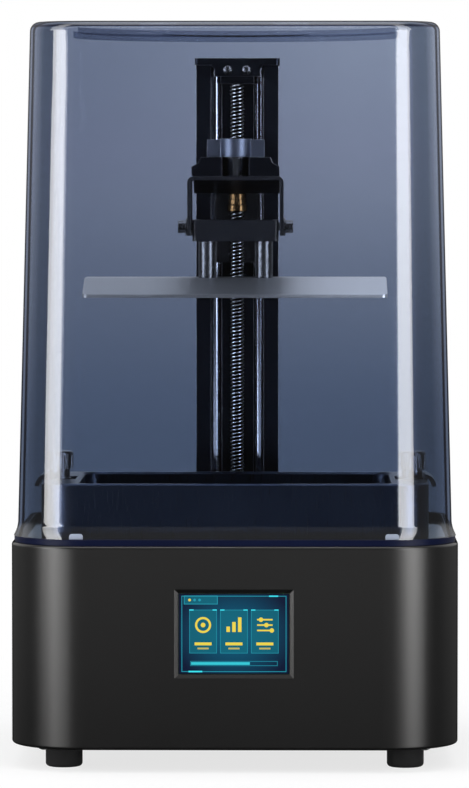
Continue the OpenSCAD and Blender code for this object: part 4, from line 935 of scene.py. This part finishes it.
def build_world():
    """White to the eye, an even grey to matt surfaces, and the studio's boxes to shiny ones."""
    world = bpy.data.worlds.new("studio")
    bpy.context.scene.world = world
    world.use_nodes = True
    world.node_tree.nodes.clear()
    g = Graph(world.node_tree)
    out = g.add("ShaderNodeOutputWorld")
    x, y, z = g.parts(g.add("ShaderNodeTexCoord").outputs["Generated"])
    # Both are in degrees: azimuth from the front to the right, and height above the horizon.
    azimuth = g.math("DEGREES", g.math("ARCTAN2", x, g.product(y, -1.0)))
    height = g.math("DEGREES", g.math("ARCSINE", z))

    def band(value, centre, half, soft):
        """1 within half a width of the centre and 0 outside, with a soft edge between."""
        off = g.math("ABSOLUTE", g.math("SUBTRACT", value, centre))
        return g.span(off, 1.0, 0.0, half - soft, half + soft)

    low = g.span(height, 1.0, 0.0, -2.8, -2.2)
    rise = g.span(height, 0.0, 1.0, -0.5, 4.5)
    high = g.span(height, 0.0, 1.0, 6.5, 9.5)

    def upright(centre, half, below, lean, above):
        """A box whose middle shifts with height: a step below the horizon, a lean across it, a step above."""
        shift = g.total(g.product(low, below), g.product(rise, lean), g.product(high, above))
        return band(g.math("SUBTRACT", azimuth, shift), centre, half, 0.8)

    tall = g.product(g.span(height, 1.0, 0.0, 60.0, 68.0), g.span(height, 0.0, 1.0, -11.0, -7.5))
    box_light = g.span(height, 10.5, 5.0, 8.0, 12.0)
    left = upright(*LEFT_BOX, below=18.0, lean=5.5, above=-9.0)
    right = upright(*RIGHT_BOX, below=11.0, lean=0.0, above=6.0)
    boxes = g.product(g.total(left, right), tall, box_light)
    front = band(azimuth, 0.0, 30.0, 12.0)
    quiet = g.product(front, band(height, 2.4, 4.9, 0.3))
    glow = g.product(front, low, g.span(height, 0.0, 2.1, -7.4, -4.0))
    room_light = g.product(g.span(quiet, 0.22, 0.03), g.span(height, 0.2, 1.0, -16.0, -3.0))
    behind = g.product(g.span(y, 0.0, 0.95, 0.1, 0.5), g.span(height, 0.0, 1.0, -2.0, 2.5))
    overhead = g.product(g.span(height, 0.0, 3.0, 60.0, 72.0), g.span(x, 0.8, 1.3, -0.5, 0.5))
    shine = g.total(boxes, overhead, room_light, glow, behind)

    def light(colour, strength):
        node = g.add("ShaderNodeBackground")
        node.inputs["Color"].default_value = colour
        g.put(node.inputs["Strength"], strength)
        return node.outputs[0]

    path = g.add("ShaderNodeLightPath").outputs
    matt, shiny = light((0.9, 0.93, 1.0, 1.0), 0.4), light((1.0, 0.99, 0.98, 1.0), shine)
    room = blend_shaders(g, path["Is Glossy Ray"], matt, shiny)
    g.put(out.inputs["Surface"], blend_shaders(g, path["Is Camera Ray"], room, light(WHITE, 1.0)))


def build_floor():
    """A matt white floor that turns to plain white away from the printer."""
    half = 6.0
    corners = [(-half, -half, 0.0), (half, -half, 0.0), (half, half, 0.0), (-half, half, 0.0)]
    floor = new_piece("floor", corners, [(0, 1, 2, 3)])
    mat, g, bsdf, out = blank("floor_white")
    bsdf.inputs["Base Color"].default_value = (0.9, 0.9, 0.9, 1.0)
    bsdf.inputs["Roughness"].default_value = 0.9
    bsdf.inputs["Specular IOR Level"].default_value = 0.1
    far = g.add("ShaderNodeVectorMath", operation="LENGTH")
    g.put(far.inputs[0], g.place())
    glow = g.add("ShaderNodeEmission")
    glow.inputs["Strength"].default_value = 1.0
    path = g.add("ShaderNodeLightPath")
    white = g.product(g.span(far.outputs["Value"], 0.75, 1.0, 0.12, 0.5), path.outputs["Is Camera Ray"])
    g.put(out.inputs["Surface"], blend_shaders(g, white, bsdf.outputs[0], glow.outputs[0]))
    floor.data.materials.append(mat)
    floor.visible_glossy = False


def build_stage():
    """The floor, the world, the lamps, the camera and the view."""
    build_floor()
    build_world()
    box_away, box_foot, box_head = 1.5, 0.02, 2.6
    softbox("softbox_left", *LEFT_BOX, box_away, box_foot, box_head, radiance=3.6)
    softbox("softbox_right", *RIGHT_BOX, box_away, box_foot, box_head, radiance=3.0)
    area_light("overhead", (0.0, -0.2, 2.4), (0.0, 0.0, 0.2), size=(2.0, 1.6), power=26.0)

    camera_data = bpy.data.cameras.new("camera")
    camera_data.lens = LENS
    camera_data.sensor_width = 36.0
    camera_data.clip_end = 50.0
    camera = bpy.data.objects.new("camera", camera_data)
    camera.matrix_world = looking(EYE, AIM)
    bpy.context.scene.collection.objects.link(camera)
    scene = bpy.context.scene
    scene.camera = camera
    scene.view_settings.view_transform = "Standard"
    scene.view_settings.look = "None"


materials = make_materials()
dress_nodes(materials)
lead_thread(materials["screw_thread"])
cover_shell(materials)
cover_tabs(materials["cover_tab"])
build_stage()
